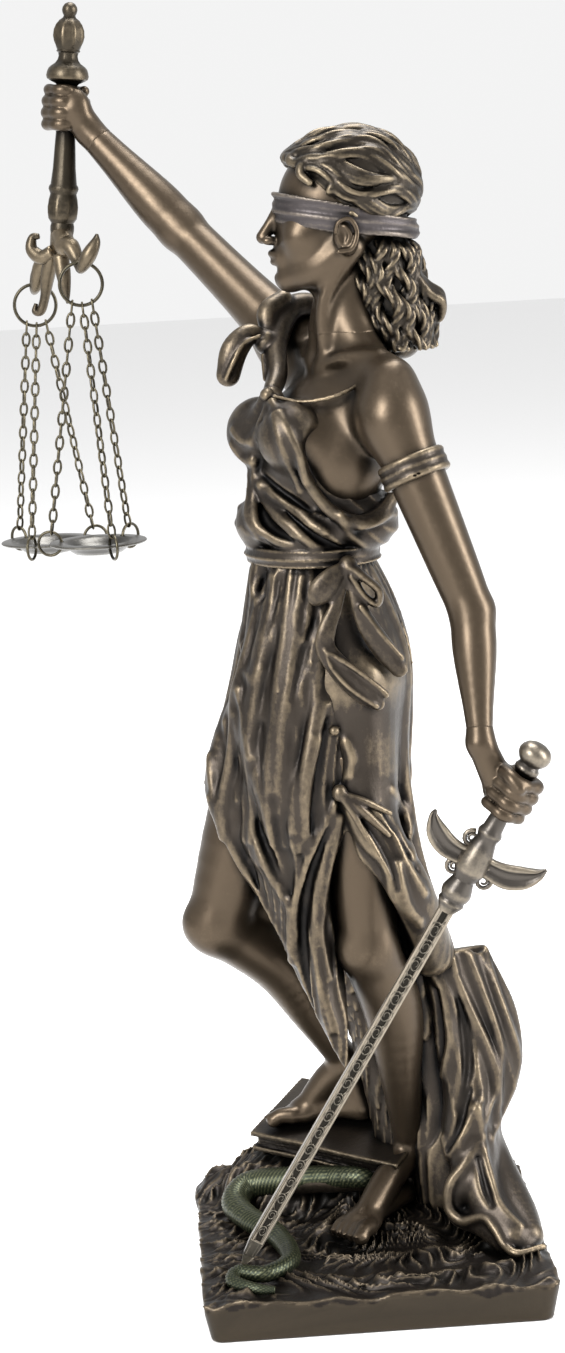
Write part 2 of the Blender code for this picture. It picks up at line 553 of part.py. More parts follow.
def model_skirt(clay):
    """The gown below the belt: a front part that ends in a point, and a back part that ends in a train."""
    front = clay.blank()
    front.tube([(-5.8, 0, 186, 14.6), (-4.8, 0, 172, 18.0), (-5.0, 0, 156, 19.8), (-7.5, -1, 138, 19.2),
                (-9.5, -3, 120, 16.4), (-11.5, -5, 105, 11.5), (-11.0, -8, 92, 7.4), (-8.5, -10, 80, 5.4),
                (-6.0, -12, 69, 3.6), (-4.2, -13, 60, 1.4)], 4.0)
    front.tube([(-9, 3, 160, 16.5), (-16, 5, 142, 16.0), (-23.5, 7, 124, 13.4), (-29.5, 7, 110, 11.5),
                (-34.5, 6, 95, 10)], 4.0)
    front.lump((-19.6, -9, 182.5), (3.4, 5.0, 6.0), None, 1.5, cut=True)
    for valley in FRONT_VALLEYS:
        front.lay(valley, 1.2, sink=0.2, cut=True)
    lay_folds(front, FRONT_FOLDS)
    front.trim((-34.5, 0, 125), (-36.0, 3, -16.6))
    lay_folds(front, PANEL_FOLDS)
    front.tube(SLIT, 0.8, flat=((0, 1, 0), 0.5), cut=True)
    clay.add(front, 0.8)
    back = clay.blank()
    back.tube([(-3.6, 2, 178, 14.8), (1.4, 2, 160, 16.3), (1.8, 4, 140, 14.6), (0.6, 6, 120, 13.8),
               (5.0, 8, 102, 13.0), (11, 11, 86, 12), (16, 12, 66, 11), (20, 12, 46, 10), (22, 12, 28, 12),
               (23, 10, 18, 11)], 5.0)
    back.tube([(0, -13, 132, 6.5), (4, -14, 122, 6.5), (8.5, -13.5, 112, 6.8), (12.5, -12, 103, 7.0),
               (16, -8, 94, 6.5), (19, -2, 84, 6.0)], 3.0)
    back.tube([(-3, 9, 106, 8.0), (0, 10, 86, 7.5), (4, 12, 66, 7.0), (8, 14, 46, 7.0),
               (11, 14, 28, 7.0)], 3.0)
    lay_folds(back, BACK_FOLDS)
    for first, last, side, places in FAR_FOLDS:
        lay_folds(back, ((first, last, places),), side, 2.0)
    back.tube(SLIT, 0.8, flat=((0, 1, 0), 0.5), cut=True)
    clay.add(back, 1.0)


def model_train(clay):
    """The train: a fold that stands open at its top edge, and runs out over the ground in a roll."""
    train = clay.blank()
    train.tube([(22.5, 6, 86, 7.2), (29, 8, 73, 8.3), (33.6, 8, 60, 8.5), (32.5, 6, 48, 8.0),
                (27.6, 3, 38, 7.0), (27, -2, 30, 6.0)], 3.0)
    train.tube([(20, 4, 86, 6.0), (25, 3, 67, 6.5), (27, 0, 48, 6.5), (26, -4, 34, 6.0)], 3.0)
    lay_folds(train, TRAIN_FOLDS)
    train.trim((34, 0, TRAIN_TOP), (-0.1, 0.25, 1), 0.6)
    train.lump((26.5, 5, TRAIN_TOP + 3.5), (9.5, 4.2, 8.5), None, 1.5, cut=True)
    train.tube([(28.6, 4, 34, 6.5), (31.5, 0, 24, 7.2), (36, -10, 16, 6.5), (39, -19, 13.5, 4.0)], 3.0)
    train.tube([(28, -2, 33, 5), (28, -9, 26, 5), (30, -14, 20, 4.5), (35, -21, 14.5, 3.5)], 2.0)
    train.tube(TRAIN_ROLL, 1.6)
    clay.add(train, 1.0)


BOW_KNOT = (2.2, -19.5, 186.5)


def model_bow(clay):
    """The bow on the belt, and the jewel from which the slit starts."""
    knot = (*BOW_KNOT, 1.8)
    leaf = ((0, 1, 0.1), 1.7)
    clay.lump(BOW_KNOT, (2.6, 2.4, 2.9), None, 0.8)
    clay.tube([knot, (-1.5, -21.0, 184.5, 2.6), (-4.4, -21.5, 181.5, 3.3), (-6.0, -21.0, 179.5, 2.0)],
              0.8, flat=leaf)
    clay.tube([knot, (6.2, -21.5, 183.6, 1.2), (9.2, -20.5, 180.3, 1.3), (8.6, -20.0, 177.2, 1.4),
               (5.5, -21.0, 179.5, 1.2), (2.8, -20.5, 184.5, 1.4)], 0.6, flat=((0, 1, 0), 0.7))
    clay.tube([(1.0, -20.5, 184.0, 1.3), (-1.5, -21.5, 177, 1.7), (-4.0, -22.5, 171.5, 2.3),
               (-4.3, -22.5, 167.0, 2.5), (-0.6, -23.0, 161.5, 3.0), (4.0, -22.5, 156.5, 3.2),
               (7.6, -21.5, 152.8, 1.8)], 0.8, flat=leaf)
    clay.tube([(-3.6, -24.0, 166.2, 0.9), (1.5, -25.0, 163.0, 1.0), (5.6, -24.0, 159.3, 1.0),
               (9.6, -22.0, 155.0, 1.2)], 0.8)
    clay.tube([(-4.6, -24.0, 167.0, 0.8), (-3.0, -24.4, 162.5, 0.9), (1.0, -24.6, 157.5, 0.9),
               (7.2, -23.0, 152.4, 0.9)], 0.8)
    clay.tube([(2.6, -20.5, 184.0, 1.3), (4.2, -21.5, 177, 1.9), (6.4, -21.5, 171.5, 2.6),
               (10.0, -20.5, 165.5, 2.8), (13.4, -19.0, 160.6, 2.2)], 0.8, flat=leaf)
    clay.tube([(4.6, -23.0, 177.0, 0.9), (9.5, -22.5, 169.5, 0.9), (14.0, -20.5, 163.5, 1.0)], 0.8)
    clay.lump((-3.3, -20.6, 146.6), (1.7, 1.6, 1.5), None, 0.8)
    clay.lump((-2.8, -21.8, 131.2), (2.2, 2.0, 2.4), None, 0.8)
    for run, thick in (((8.8, -20.4, 119.6), 1.5), ((9.4, -20.0, 125.0), 1.2), ((3.5, -21.5, 119.0), 1.1)):
        middle = along((-2.8, -21.8, 131.2), run, 0.5) + (0, -1.2, 0.6)
        clay.tube([(-2.8, -22.2, 131.2, 1.0), row(middle, thick), row(run, 0.8)], 0.8)


def model_straps(clay):
    """The knot on her chest, its cord, the strap and bow on her right shoulder, and the armlet."""
    clay.lump((-14.5, -8.5, 228.0), (2.2, 2.6, 2.0), None, 1.0)
    clay.tube([(-14.5, -9, 228, 0.9), (-6, -16, 226.5, 0.9), (4, -18, 228.5, 0.9), (13, -11, 233, 0.9),
               (17, -2, 235, 0.9)], 0.8)
    clay.tube([(-13.5, -6, 228, 2.4), (-11.5, 2, 232, 2.8), (-11.0, 9, 239, 3.0), (-6.5, 16, 247, 3.2),
               (2, 19, 246, 3.0)], 1.5)
    clay.lump((-13.5, 9.0, 239.5), (3.6, 3.4, 3.6), None, 1.0)
    clay.tube([(-13.5, 9, 240, 2.0), (-17.5, 8, 241.5, 3.4), (-21.5, 6.5, 237.5, 4.0),
               (-23, 6.5, 232, 3.4)],
              1.0, flat=((0, 1, 0), 1.3))
    clay.tube([(-12.5, 10, 241, 2.2), (-12.5, 12, 246.5, 3.4), (-8.5, 14, 249.5, 2.4)], 1.0)
    clay.tube(ring_along(LEFT_SHOULDER, LEFT_ELBOW, 0.24, 8.2, 1.0), 0.6, 1)
    clay.tube(ring_along(LEFT_SHOULDER, LEFT_ELBOW, 0.31, 8.0, 1.3), 0.6, 1)


def ring_along(a, b, share, radius, thick, count=20):
    """Rows of a ring round the line from a to b, at a share of its length."""
    way = unit(np.array(b) - np.array(a))
    side = unit(np.cross(way, UP))
    other = np.cross(way, side)
    centre = along(a, b, share)
    rows = []
    for k in range(count + 1):
        turn = 2 * math.pi * k / count
        rows.append(row(centre + radius * (math.cos(turn) * side + math.sin(turn) * other), thick))
    return rows


FINGER_RADII = (1.65, 1.75, 1.7, 1.5)
FINGER_PITCH = 2.9


def model_hand(clay, fist, wrist, grip, hold, thumb_side=1):
    """A closed hand round a grip.

    fist is the middle of the grip in the hand, grip the way it runs, and hold its radius there.
    """
    fist, wrist, grip = np.array(fist), np.array(wrist), unit(grip)
    arm = fist - wrist
    arm = unit(arm - grip * (arm @ grip))
    palm = np.cross(grip, arm) * thumb_side
    clay.tube([row(wrist, 3.3), row(fist - 3.4 * arm - 1.5 * palm, 3.9)], 2.0)
    clay.lump(fist - 2.0 * arm - 2.4 * palm, (5.2, 3.0, 5.6), [arm, palm, grip], 1.5)
    for k, thick in enumerate(FINGER_RADII):
        place = fist + grip * (k - 1.5) * FINGER_PITCH
        reach = hold + FIT_GAP + thick
        rows = []
        for turn in range(-120, 151, 30):
            t = math.radians(turn)
            rows.append(row(place + reach * (math.cos(t) * arm + math.sin(t) * palm), thick))
        clay.tube(rows, 0.4, 2)
    clay.tube([row(fist - 4.4 * arm - 0.5 * palm - 3.2 * grip, 2.2),
               row(fist - 2.8 * arm + 3.4 * palm - 4.0 * grip, 1.9),
               row(fist + 1.0 * arm + 5.2 * palm - 3.2 * grip, 1.6)], 0.8)


# The ground: how far its middle height lies above the plinth's sides, and its bumps, each with its
# height, how fast it runs along x and along y, and where it starts
GROUND_RISE = 1.6
GROUND_BUMPS = ((0.5, 0.31, 0.17, 0.0), (0.4, -0.12, 0.23, 1.0), (0.3, 0.5, 0.0, 0.4))


def model_ground(clay):
    """The plinth with the uneven ground on it, a rise under each foot, and a rock at the back."""
    foot = MODELLED_PLINTH - PLINTH_HEIGHT
    half = max(PLINTH_WIDTH, PLINTH_DEPTH) / 2 + 2
    part, (x, y, z) = clay.window((-half, -half, foot - 5), (half, half, 60))
    lean = np.clip(PLINTH_LEAN * (MODELLED_PLINTH - z) / PLINTH_HEIGHT, -0.3, PLINTH_LEAN)
    dx = np.abs(x) - (PLINTH_WIDTH / 2 - lean) + PLINTH_CORNER
    dy = np.abs(y) - (PLINTH_DEPTH / 2 - lean) + PLINTH_CORNER
    outside = np.sqrt(np.maximum(dx, 0) ** 2 + np.maximum(dy, 0) ** 2)
    sides = outside + np.minimum(np.maximum(dx, dy), 0) - PLINTH_CORNER
    bumps = sum(high * np.sin(u * x + v * y + start) for high, u, v, start in GROUND_BUMPS)
    top = MODELLED_PLINTH + GROUND_RISE + bumps
    clay.join(part, np.maximum(sides + 0 * z, np.maximum(z - top, foot - z)), 0.5)
    clay.lump((8, 10, 9), (24, 20, 6.5), None, 4.0)
    clay.lump((-10, 26, 12), (26, 15, 12), None, 4.0)
    clay.lump((-20, 30, 12), (16, 11, 13), None, 4.0)
    clay.lump((-36, 37, 9), (8, 7, 7), None, 3.0)


BOOK_CORNER = np.array([-29.0, 24.0, 31.0])
BOOK_RUN = unit([36, -25, -3.0])
BOOK_WIDE = unit([15.7, 18.0, 6.5])
BOOK_LONG = 45.0
BOOK_DEEP = 27.0
BOOK_THICK = 6.0
BOOK_COVER = 1.4
PAGE_INSET = 1.2


def model_book(clay):
    """The closed book under her right foot, and the ground that carries it."""
    up = unit(np.cross(BOOK_RUN, BOOK_WIDE))
    wide = np.cross(up, BOOK_RUN)
    centre = BOOK_CORNER + BOOK_RUN * BOOK_LONG / 2 + wide * BOOK_DEEP / 2 - up * BOOK_THICK / 2
    part, (x, y, z) = clay.window(centre - 34, centre + 34)
    x, y, z = x - centre[0], y - centre[1], z - centre[2]
    runs = [np.abs(x * a[0] + y * a[1] + z * a[2]) for a in (BOOK_RUN, wide, up)]
    half_cover = BOOK_COVER / 2
    to_cover = np.abs(runs[2] - BOOK_THICK / 2 + half_cover) - half_cover
    covers = np.maximum.reduce([runs[0] - BOOK_LONG / 2, runs[1] - BOOK_DEEP / 2, to_cover])
    pages = np.maximum.reduce([runs[0] - BOOK_LONG / 2 + PAGE_INSET, runs[1] - BOOK_DEEP / 2 + PAGE_INSET,
                               runs[2] - BOOK_THICK / 2])
    clay.join(part, np.minimum(pages, covers), 0.4)
    clay.tube([row(centre - up * 9, 9.0), row(centre - up * 16 + BOOK_RUN * 4, 13.0)], 3.0)
    clay.tube([row(centre - up * 8 - BOOK_RUN * 10, 7.0), row(centre - up * 14 + BOOK_RUN * 14, 9.0)], 3.0)


SNAKE = (
    (3.0, 6.0, 21.0, 1.6), (-1.0, 5.0, 23.0, 2.6), (-9.0, 9.5, 22.0, 2.9), (-20.0, 15.0, 20.0, 3.0),
    (-30.0, 18.5, 18.0, 3.0), (-34.0, 13.0, 15.5, 2.9), (-31.0, 4.0, 14.5, 2.8), (-25.0, -6.0, 14.0, 2.7),
    (-21.5, -18.0, 13.5, 2.5), (-22.0, -26.0, 13.3, 2.3), (-28.0, -31.5, 13.0, 2.1),
    (-34.5, -29.5, 13.0, 1.9),
    (-36.0, -34.0, 12.6, 1.7), (-31.0, -39.0, 12.4, 1.4), (-26.0, -40.0, 12.0, 0.9),
)


def model_snake(clay):
    clay.tube(SNAKE, 0.6, 6)


# The sword, a casting of its own that is pushed up through her left fist
SWORD_TIP = np.array((-33.3, -28.0, 14.6))
SWORD_TOP = np.array((43.9, -46.7, 145.6))
SWORD_AXIS = unit(SWORD_TOP - SWORD_TIP)
SWORD_WIDE = unit(np.cross((0.0, 1.0, 0.0), SWORD_AXIS))
SWORD_THICK = np.cross(SWORD_AXIS, SWORD_WIDE)
SWORD_LONG = float(np.linalg.norm(SWORD_TOP - SWORD_TIP))
BLADE_LONG = 109.0
BLADE_WIDTH_TIP = 3.6
BLADE_WIDTH_TOP = 5.2
BLADE_THICKNESS = 1.9
BLADE_FLAT = 0.55
GRIP_RADIUS = 2.3
FIT_GAP = 0.3

# The handle of the balance. Its profile holds how far down from its top, and its radius there.
HANDLE_GRIP = 2.5
HANDLE_TOP = np.array((-57.3, 55.0, 326.0))
HANDLE_END = np.array((-63.6, 55.0, 265.0))
HANDLE_PROFILE = (
    (0.0, 0.9), (1.0, 1.8), (2.6, 2.0), (3.4, 1.6), (5.2, 3.4), (8.6, 4.35), (11.6, 3.4), (12.8, 2.5),
    (15.4, 3.1), (16.6, 4.9), (19.2, 5.5), (20.2, 4.2), (21.2, HANDLE_GRIP), (31.5, HANDLE_GRIP),
    (37.0, 2.9),
    (46.6, 3.4), (47.4, 3.8), (48.6, 3.7), (49.4, 3.4), (52.0, 4.25), (54.6, 4.0), (56.6, 2.9), (61.0, 2.6),
)
HOOK_RADIUS = 1.05
RING_RADIUS = 5.5
RING_WIRE = 0.45
PAN_RADIUS = 12.8
PAN_THICKNESS = 1.0
PAN_DEPTH = 2.2
PAN_RIM = 4.0
PAN_SLOPE = 2.4
HANGER_RADIUS = 3.1
HANGER_WIRE = 0.4
PAN_HOLE = HANGER_WIRE + 0.45
LINK_WIDE = 2.6
LINK_WIRE = 0.32
LINK_MEET = 0.5
LINK_PITCH = 3.15
LINK_END = 3.9
LINK_BULGE = 0.25

# How far apart, in degrees along its wire, the three chains hang on a big ring
CHAIN_SPREAD = 28
SIDES = {
    "far": {"ring": (-72.1, 68.0, 248.7), "pan": (-72.8, 68.0, 185.5), "turns": (11, 251, 131)},
    "near": {"ring": (-59.0, 42.0, 254.8), "pan": (-59.0, 42.0, 187.9), "turns": (49, -71, 169)},
}


# Sides of the turned pieces, of the bars, of a pan, and along and round the rings' wires
TURNED_SIDES = 8
BAR_SIDES = 6
PAN_SIDES = 18
RING_SIDES = 14
HANGER_SIDES = 8
WIRE_SIDES = 4


def clear_scene():
    for obj in list(bpy.data.objects):
        bpy.data.objects.remove(obj)


def metal(name, colour, roughness):
    material = bpy.data.materials.new(name)
    material.use_nodes = True
    shader = material.node_tree.nodes["Principled BSDF"]
    shader.inputs["Base Color"].default_value = (*colour, 1)
    shader.inputs["Metallic"].default_value = 0.7
    shader.inputs["Roughness"].default_value = roughness
    return material


def mesh_object(name, points, faces, material=None):
    mesh = bpy.data.meshes.new(name)
    raised = (np.asarray(points) + RISE * UP) * MM
    mesh.from_pydata(raised.tolist(), [], [list(map(int, face)) for face in faces])
    mesh.update()
    obj = bpy.data.objects.new(name, mesh)
    bpy.context.scene.collection.objects.link(obj)
    if material:
        mesh.materials.append(material)
    return obj


def loft(rings, closed=False):
    """Points and faces of a skin over rings of equally many points."""
    count = len(rings[0])
    faces = []
    for k in range(len(rings) - (0 if closed else 1)):
        a, b = k * count, (k + 1) % len(rings) * count
        for i in range(count):
            j = (i + 1) % count
            faces.append((a + i, a + j, b + j, b + i))
    if not closed:
        faces.append(tuple(range(count - 1, -1, -1)))
        faces.append(tuple((len(rings) - 1) * count + i for i in range(count)))
    return np.vstack(rings), faces


def circle(centre, u, v, ru, rv, count):
    turns = 2 * math.pi * np.arange(count) / count
    across = ru * np.cos(turns)[:, None] * np.array(u)
    return np.array(centre) + across + rv * np.sin(turns)[:, None] * np.array(v)


def lathe(start, axis, profile, count, grow=0.0):
    """A turned shape: the profile holds distances along the axis and radii."""
    axis = unit(axis)
    u = unit(np.cross(axis, (0.0, 1.0, 0.0)))
    v = np.cross(axis, u)
    return loft([circle(np.array(start) + axis * d, u, v, r + grow, r + grow, count) for d, r in profile])


def sweep(rows, steps=3, across=(0.0, 1.0, 0.0)):
    """A round bar along a smooth path. The corners of its section are set by the direction across."""
    rows = smooth_path(rows, steps)
    rings = []
    for k, (x, y, z, radius) in enumerate(rows):
        way = unit(rows[min(k + 1, len(rows) - 1), :3] - rows[max(k - 1, 0), :3])
        v = unit(np.array(across) - way * (np.array(across) @ way))
        u = np.cross(v, way)
        rings.append(circle((x, y, z), u, v, radius, radius, BAR_SIDES))
    return loft(rings)


def wire_ring(centre, u, v, radius, wire, count):
    """A ring of round wire in the plane of u and v."""
    rings = []
    normal = np.cross(u, v)
    for turn in 2 * math.pi * np.arange(count) / count:
        out = math.cos(turn) * np.array(u) + math.sin(turn) * np.array(v)
        rings.append(circle(np.array(centre) + radius * out, out, normal, wire, wire, WIRE_SIDES))
    return loft(rings, True)


def combine(name, pieces, material):
    """Overlapping closed skins become one body."""
    points, faces, first = [], [], 0
    for piece_points, piece_faces in pieces:
        points.append(piece_points)
        faces += [tuple(i + first for i in face) for face in piece_faces]
        first += len(piece_points)
    obj = mesh_object(name, np.vstack(points), faces, material)
    outward(obj)
    if len(pieces) > 1:
        tool = mesh_object(name + " union", *pieces[0])
        outward(tool)
        fuse = obj.modifiers.new("union", "BOOLEAN")
        fuse.object, fuse.operation, fuse.solver, fuse.use_self = tool, "UNION", "EXACT", True
        apply_modifiers(obj)
        bpy.data.objects.remove(tool)
    return obj


def outward(obj):
    work = bmesh.new()
    work.from_mesh(obj.data)
    bmesh.ops.recalc_face_normals(work, faces=work.faces)
    work.to_mesh(obj.data)
    work.free()


def apply_modifiers(obj):
    graph = bpy.context.evaluated_depsgraph_get()
    graph.update()
    made = bpy.data.meshes.new_from_object(obj.evaluated_get(graph))
    obj.modifiers.clear()
    obj.data = made


def cut_with(obj, cutters):
    for cutter in cutters:
        outward(cutter)
        cutter.hide_render = True
        cutter.display_type = "WIRE"
        cut = obj.modifiers.new("cut", "BOOLEAN")
        cut.object, cut.operation, cut.solver = cutter, "DIFFERENCE", "EXACT"
        apply_modifiers(obj)
        bpy.data.objects.remove(cutter)


def keep_largest(obj):
    """Loose crumbs and the skins of closed hollows are dropped."""
    work = bmesh.new()
    work.from_mesh(obj.data)
    work.verts.ensure_lookup_table()
    seen, groups = set(), []
    for first in work.verts:
        if first.index in seen:
            continue
        seen.add(first.index)
        group, queue = [first], [first]
        while queue:
            for edge in queue.pop().link_edges:
                for vert in edge.verts:
                    if vert.index not in seen:
                        seen.add(vert.index)
                        group.append(vert)
                        queue.append(vert)
        groups.append(group)
    groups.sort(key=len)
    for group in groups[:-1]:
        bmesh.ops.delete(work, geom=group, context="VERTS")
    work.to_mesh(obj.data)
    work.free()


def sword_point(along_axis, wide=0.0, thick=0.0):
    return SWORD_TIP + along_axis * SWORD_AXIS + wide * SWORD_WIDE + thick * SWORD_THICK


def blade(grow=0.0):
    """The blade: flat sides and sloping edges, pointed over its last millimetres."""
    rings = []
    for share in (0.0, 0.05, 0.12, 0.4, 0.7, 1.0):
        place = share * (BLADE_LONG + 3) - (grow if share == 0 else 0)
        half = (BLADE_WIDTH_TIP + (BLADE_WIDTH_TOP - BLADE_WIDTH_TIP) * share) / 2
        half = half * min(1.0, 0.3 + 12 * share) + grow
        thick = BLADE_THICKNESS / 2 * min(1.0, 0.55 + 6 * share) + grow
        flat = half * BLADE_FLAT
        ring = [(half, 0), (flat, thick), (-flat, thick), (-half, 0), (-flat, -thick), (flat, -thick)]
        rings.append(np.array([sword_point(place, w, t) for w, t in ring]))
    return loft(rings)


def hilt(grow=0.0):
    """Collar, grip and pommel, turned about the sword's axis."""
    collar, end = BLADE_LONG, SWORD_LONG
    profile = (
        (collar - 3.0, 2.0), (collar - 1.0, 3.3), (collar + 2.5, 3.8), (collar + 6.0, 2.7),
        (collar + 9.0, 4.0), (collar + 14.0, 3.6), (collar + 17.5, 2.6), (collar + 19.0, 3.1),
        (collar + 20.4, 2.5), (end - 21.0, GRIP_RADIUS), (end - 8.5, GRIP_RADIUS - 0.2), (end - 7.4, 3.2),
        (end - 6.2, 3.2), (end - 5.4, 2.9), (end - 3.6, 4.1), (end - 1.4, 3.7), (end, 2.0),
    )
    return lathe(SWORD_TIP, SWORD_AXIS, profile, TURNED_SIDES, grow)


def guard():
    """The crossguard: a bar in an S, with a leaf at each end."""
    middle = BLADE_LONG + 12.0
    rows = ((4.8, -14.0, 0.8), (2.2, -12.4, 2.2), (-0.8, -7.5, 2.6), (0.0, 0.0, 2.9), (-0.8, 7.5, 2.6),
            (1.2, 13.0, 2.2), (4.2, 16.2, 0.8))
    places = [row(sword_point(middle + up, wide), thick) for up, wide, thick in rows]
    return sweep(places, 2, SWORD_THICK)


def make_sword(material):
    return combine("sword", [blade(), hilt(), guard()], material)


def handle(grow=0.0):
    return lathe(HANDLE_TOP, HANDLE_END - HANDLE_TOP, HANDLE_PROFILE, TURNED_SIDES, grow)


def make_balance(material):
    """The handle, and under it a scrolled beam with a hook at each end."""
    far, near = np.array(SIDES["far"]["ring"]), np.array(SIDES["near"]["ring"])
    hook = HOOK_RADIUS
    drop = RING_RADIUS - RING_WIRE - FIT_GAP - hook
    far_hook, near_hook = far + UP * drop, near + UP * drop
    foot = HANDLE_END
    to_far = [row(foot + (0, 0, 2), 2.6), row(foot + (-1.5, 5, -3), 3.0), (-69.5, 62.5, 259.0, 2.6),
              row(far_hook + (0.8, -3.4, 1.4), 1.5), row(far_hook, hook), row(far_hook + (0, 2.6, 1.2), 1.3),
              row(far_hook + (0.6, 3.4, 4.2), 1.5), row(far_hook + (1.4, 2.0, 6.2), 0.9)]
    to_near = [row(foot + (0, 0, 2), 2.6), row(foot + (1.0, -4.5, -0.5), 3.0), (-61.0, 48.0, 264.0, 2.4),
               row(near_hook + (-0.4, 3.2, 1.6), 1.5), row(near_hook, hook),
               row(near_hook + (0.6, -2.6, 1.2), 1.4), row(near_hook + (2.6, -3.6, 4.6), 1.8),
               row(near_hook + (4.6, -3.4, 8.6), 0.8)]
    scroll = [(-66.5, 57.0, 262.0, 1.6), (-69.5, 58.5, 262.5, 1.8), (-71.5, 59.5, 265.0, 1.4),
              (-70.0, 59.0, 267.0, 0.9)]
    across = (1.0, 0.45, 0.0)
    arms = [sweep(to_far, 2, across), sweep(to_near, 2, across), sweep(scroll, 2)]
    return combine("balance_beam", [handle()] + arms, material)


def make_ring(name, centre, material):
    skin = wire_ring(centre, (1, 0, 0), UP, RING_RADIUS, RING_WIRE, RING_SIDES)
    return combine(name, [skin], material)


def pan_place(pan, turn, radius, up=0.0):
    turn = math.radians(turn)
    return np.array(pan) + (radius * math.cos(turn), radius * math.sin(turn), up)


def make_hanger(name, pan, turn, material):
    """A small ring through the hole at the pan's edge."""
    out = unit(pan_place((0, 0, 0), turn, 1))
    centre = pan_place(pan, turn, PAN_RADIUS)
    skin = wire_ring(centre, out, UP, HANGER_RADIUS, HANGER_WIRE, HANGER_SIDES)
    return combine(name, [skin], material)


def make_pan(name, pan, turns, material):
    """A shallow dish with a flat rim, and three holes in the rim."""
    half = PAN_THICKNESS / 2
    lip, well = PAN_RADIUS - PAN_RIM, PAN_RADIUS - PAN_RIM - PAN_SLOPE
    outline = ((PAN_RADIUS, -half), (PAN_RADIUS, half), (lip, half), (well, half - PAN_DEPTH),
               (0.0, half - PAN_DEPTH), (0.0, -half - PAN_DEPTH), (well, -half - PAN_DEPTH), (lip, -half))
    count = PAN_SIDES
    points, faces, rings = [], [], []
    for radius, up in outline:
        if radius == 0:
            rings.append([len(points)])
            points.append(np.array(pan) + (0, 0, up))
        else:
            rings.append(list(range(len(points), len(points) + count)))
            middle = np.array(pan) + (0, 0, up)
            points += list(circle(middle, (1, 0, 0), (0, 1, 0), radius, radius, count))
    for a, b in zip(rings, rings[1:] + rings[:1]):
        for i in range(count):
            j = (i + 1) % count
            face = [a[i % len(a)], a[j % len(a)], b[j % len(b)], b[i % len(b)]]
            face = list(dict.fromkeys(face))
            if len(face) > 2:
                faces.append(face)
    obj = mesh_object(name, points, faces, material)
    outward(obj)
    cutters = []
    for turn in turns:
        place = pan_place(pan, turn, PAN_RADIUS - HANGER_RADIUS, PAN_THICKNESS)
        drill = ((0, PAN_HOLE), (2 * PAN_THICKNESS, PAN_HOLE))
        cutters.append(mesh_object("hole", *lathe(place, (0, 0, -1), drill, BAR_SIDES)))
    cut_with(obj, cutters)
    return obj


def make_chain(name, ring, pan, turn, place, material):
    """A chain from the bottom of a big ring to the top of a small ring.

    Every two links meet in a small block. A link is two bars that bow apart between its blocks, and each
    link stands across the one before. The end links pass round the wires of the rings with a gap.
    """
    ring_turn = math.radians(place * CHAIN_SPREAD)
    start = np.array(ring) + (RING_RADIUS * math.sin(ring_turn), 0, -RING_RADIUS * math.cos(ring_turn))
    out = unit(pan_place((0, 0, 0), turn, 1))
    end = pan_place(pan, turn, PAN_RADIUS) + HANGER_RADIUS * unit(UP - out * 0.2)
    way = unit(end - start)
    start = start - way * (RING_WIRE + FIT_GAP + LINK_MEET)
    end = end + way * (HANGER_WIRE + FIT_GAP + LINK_MEET)
    length = np.linalg.norm(end - start)
    count = int(round((length - 2 * LINK_END) / LINK_PITCH)) + 2
    pitch = (length - 2 * LINK_END) / (count - 2)
    spans = [0] + [LINK_END] + [pitch] * (count - 2) + [LINK_END]
    blocks = [start + way * far for far in np.cumsum(spans)]
    first = unit(np.cross(way, (1.0, 0.0, 0.0)))
    beside = np.cross(UP, out)
    last = unit(beside - way * (beside @ way))
    twist = math.atan2(np.cross(first, last) @ way, first @ last)
    twist -= (count - 1) % 2 * math.pi / 2
    twist = (twist + math.pi / 2) % math.pi - math.pi / 2
    points, faces = [], []

    def corner(point):
        points.append(point)
        return len(points) - 1

    def bar_axis(k):
        turn_by = k * math.pi / 2 + twist * k / (count - 1)
        return math.cos(turn_by) * first + math.sin(turn_by) * np.cross(way, first)

    corners = []
    for k, block in enumerate(blocks):
        a = bar_axis(min(k, count - 1))
        b = np.cross(way, a)
        corners.append({
            (i, j, w): corner(block + LINK_WIRE * (i * a + j * b) + LINK_MEET * w * way)
            for i in (-1, 1) for j in (-1, 1) for w in (-1, 1)
        })

    def side_face(k, axis):
        """The two corners, as signs, between which a block's side looks along an axis."""
        a = bar_axis(min(k, count - 1))
        b = np.cross(way, a)
        i, j = round(float(a @ axis)), round(float(b @ axis))
        if i:
            return [(i, -1), (i, 1)]
        return [(-1, j), (1, j)]

    used = set()
    for k in range(count):
        a = bar_axis(k)
        middle = (blocks[k] + blocks[k + 1]) / 2
        wide = LINK_WIDE / 2 - LINK_WIRE + (LINK_BULGE if k in (0, count - 1) else 0)
        for sign in (-1, 1):
            axis = sign * a
            across = np.cross(way, axis)
            ring_points = []
            for reach, over in ((LINK_WIRE, -1), (LINK_WIRE, 1), (-LINK_WIRE, 1), (-LINK_WIRE, -1)):
                ring_points.append(corner(middle + axis * (wide + reach) + across * over * LINK_WIRE))
            for block, outer in ((k, -1), (k + 1, 1)):
                pair = side_face(block, axis)
                pair.sort(key=lambda c: float((points[corners[block][(*c, 1)]] - blocks[block]) @ across))
                loop = [corners[block][(*pair[0], outer)], corners[block][(*pair[1], outer)],
                        corners[block][(*pair[1], -outer)], corners[block][(*pair[0], -outer)]]
                used.add((block, frozenset(loop)))
                for n in range(4):
                    m = (n + 1) % 4
                    faces.append((loop[n], loop[m], ring_points[m], ring_points[n]))
    for k, block in enumerate(corners):
        for axis in range(3):
            for sign in (-1, 1):
                loop = [n for key, n in block.items() if key[axis] == sign]
                if (k, frozenset(loop)) not in used:
                    faces.append((loop[0], loop[1], loop[3], loop[2]))
    return combine(name, [(np.array(points), faces)], material)


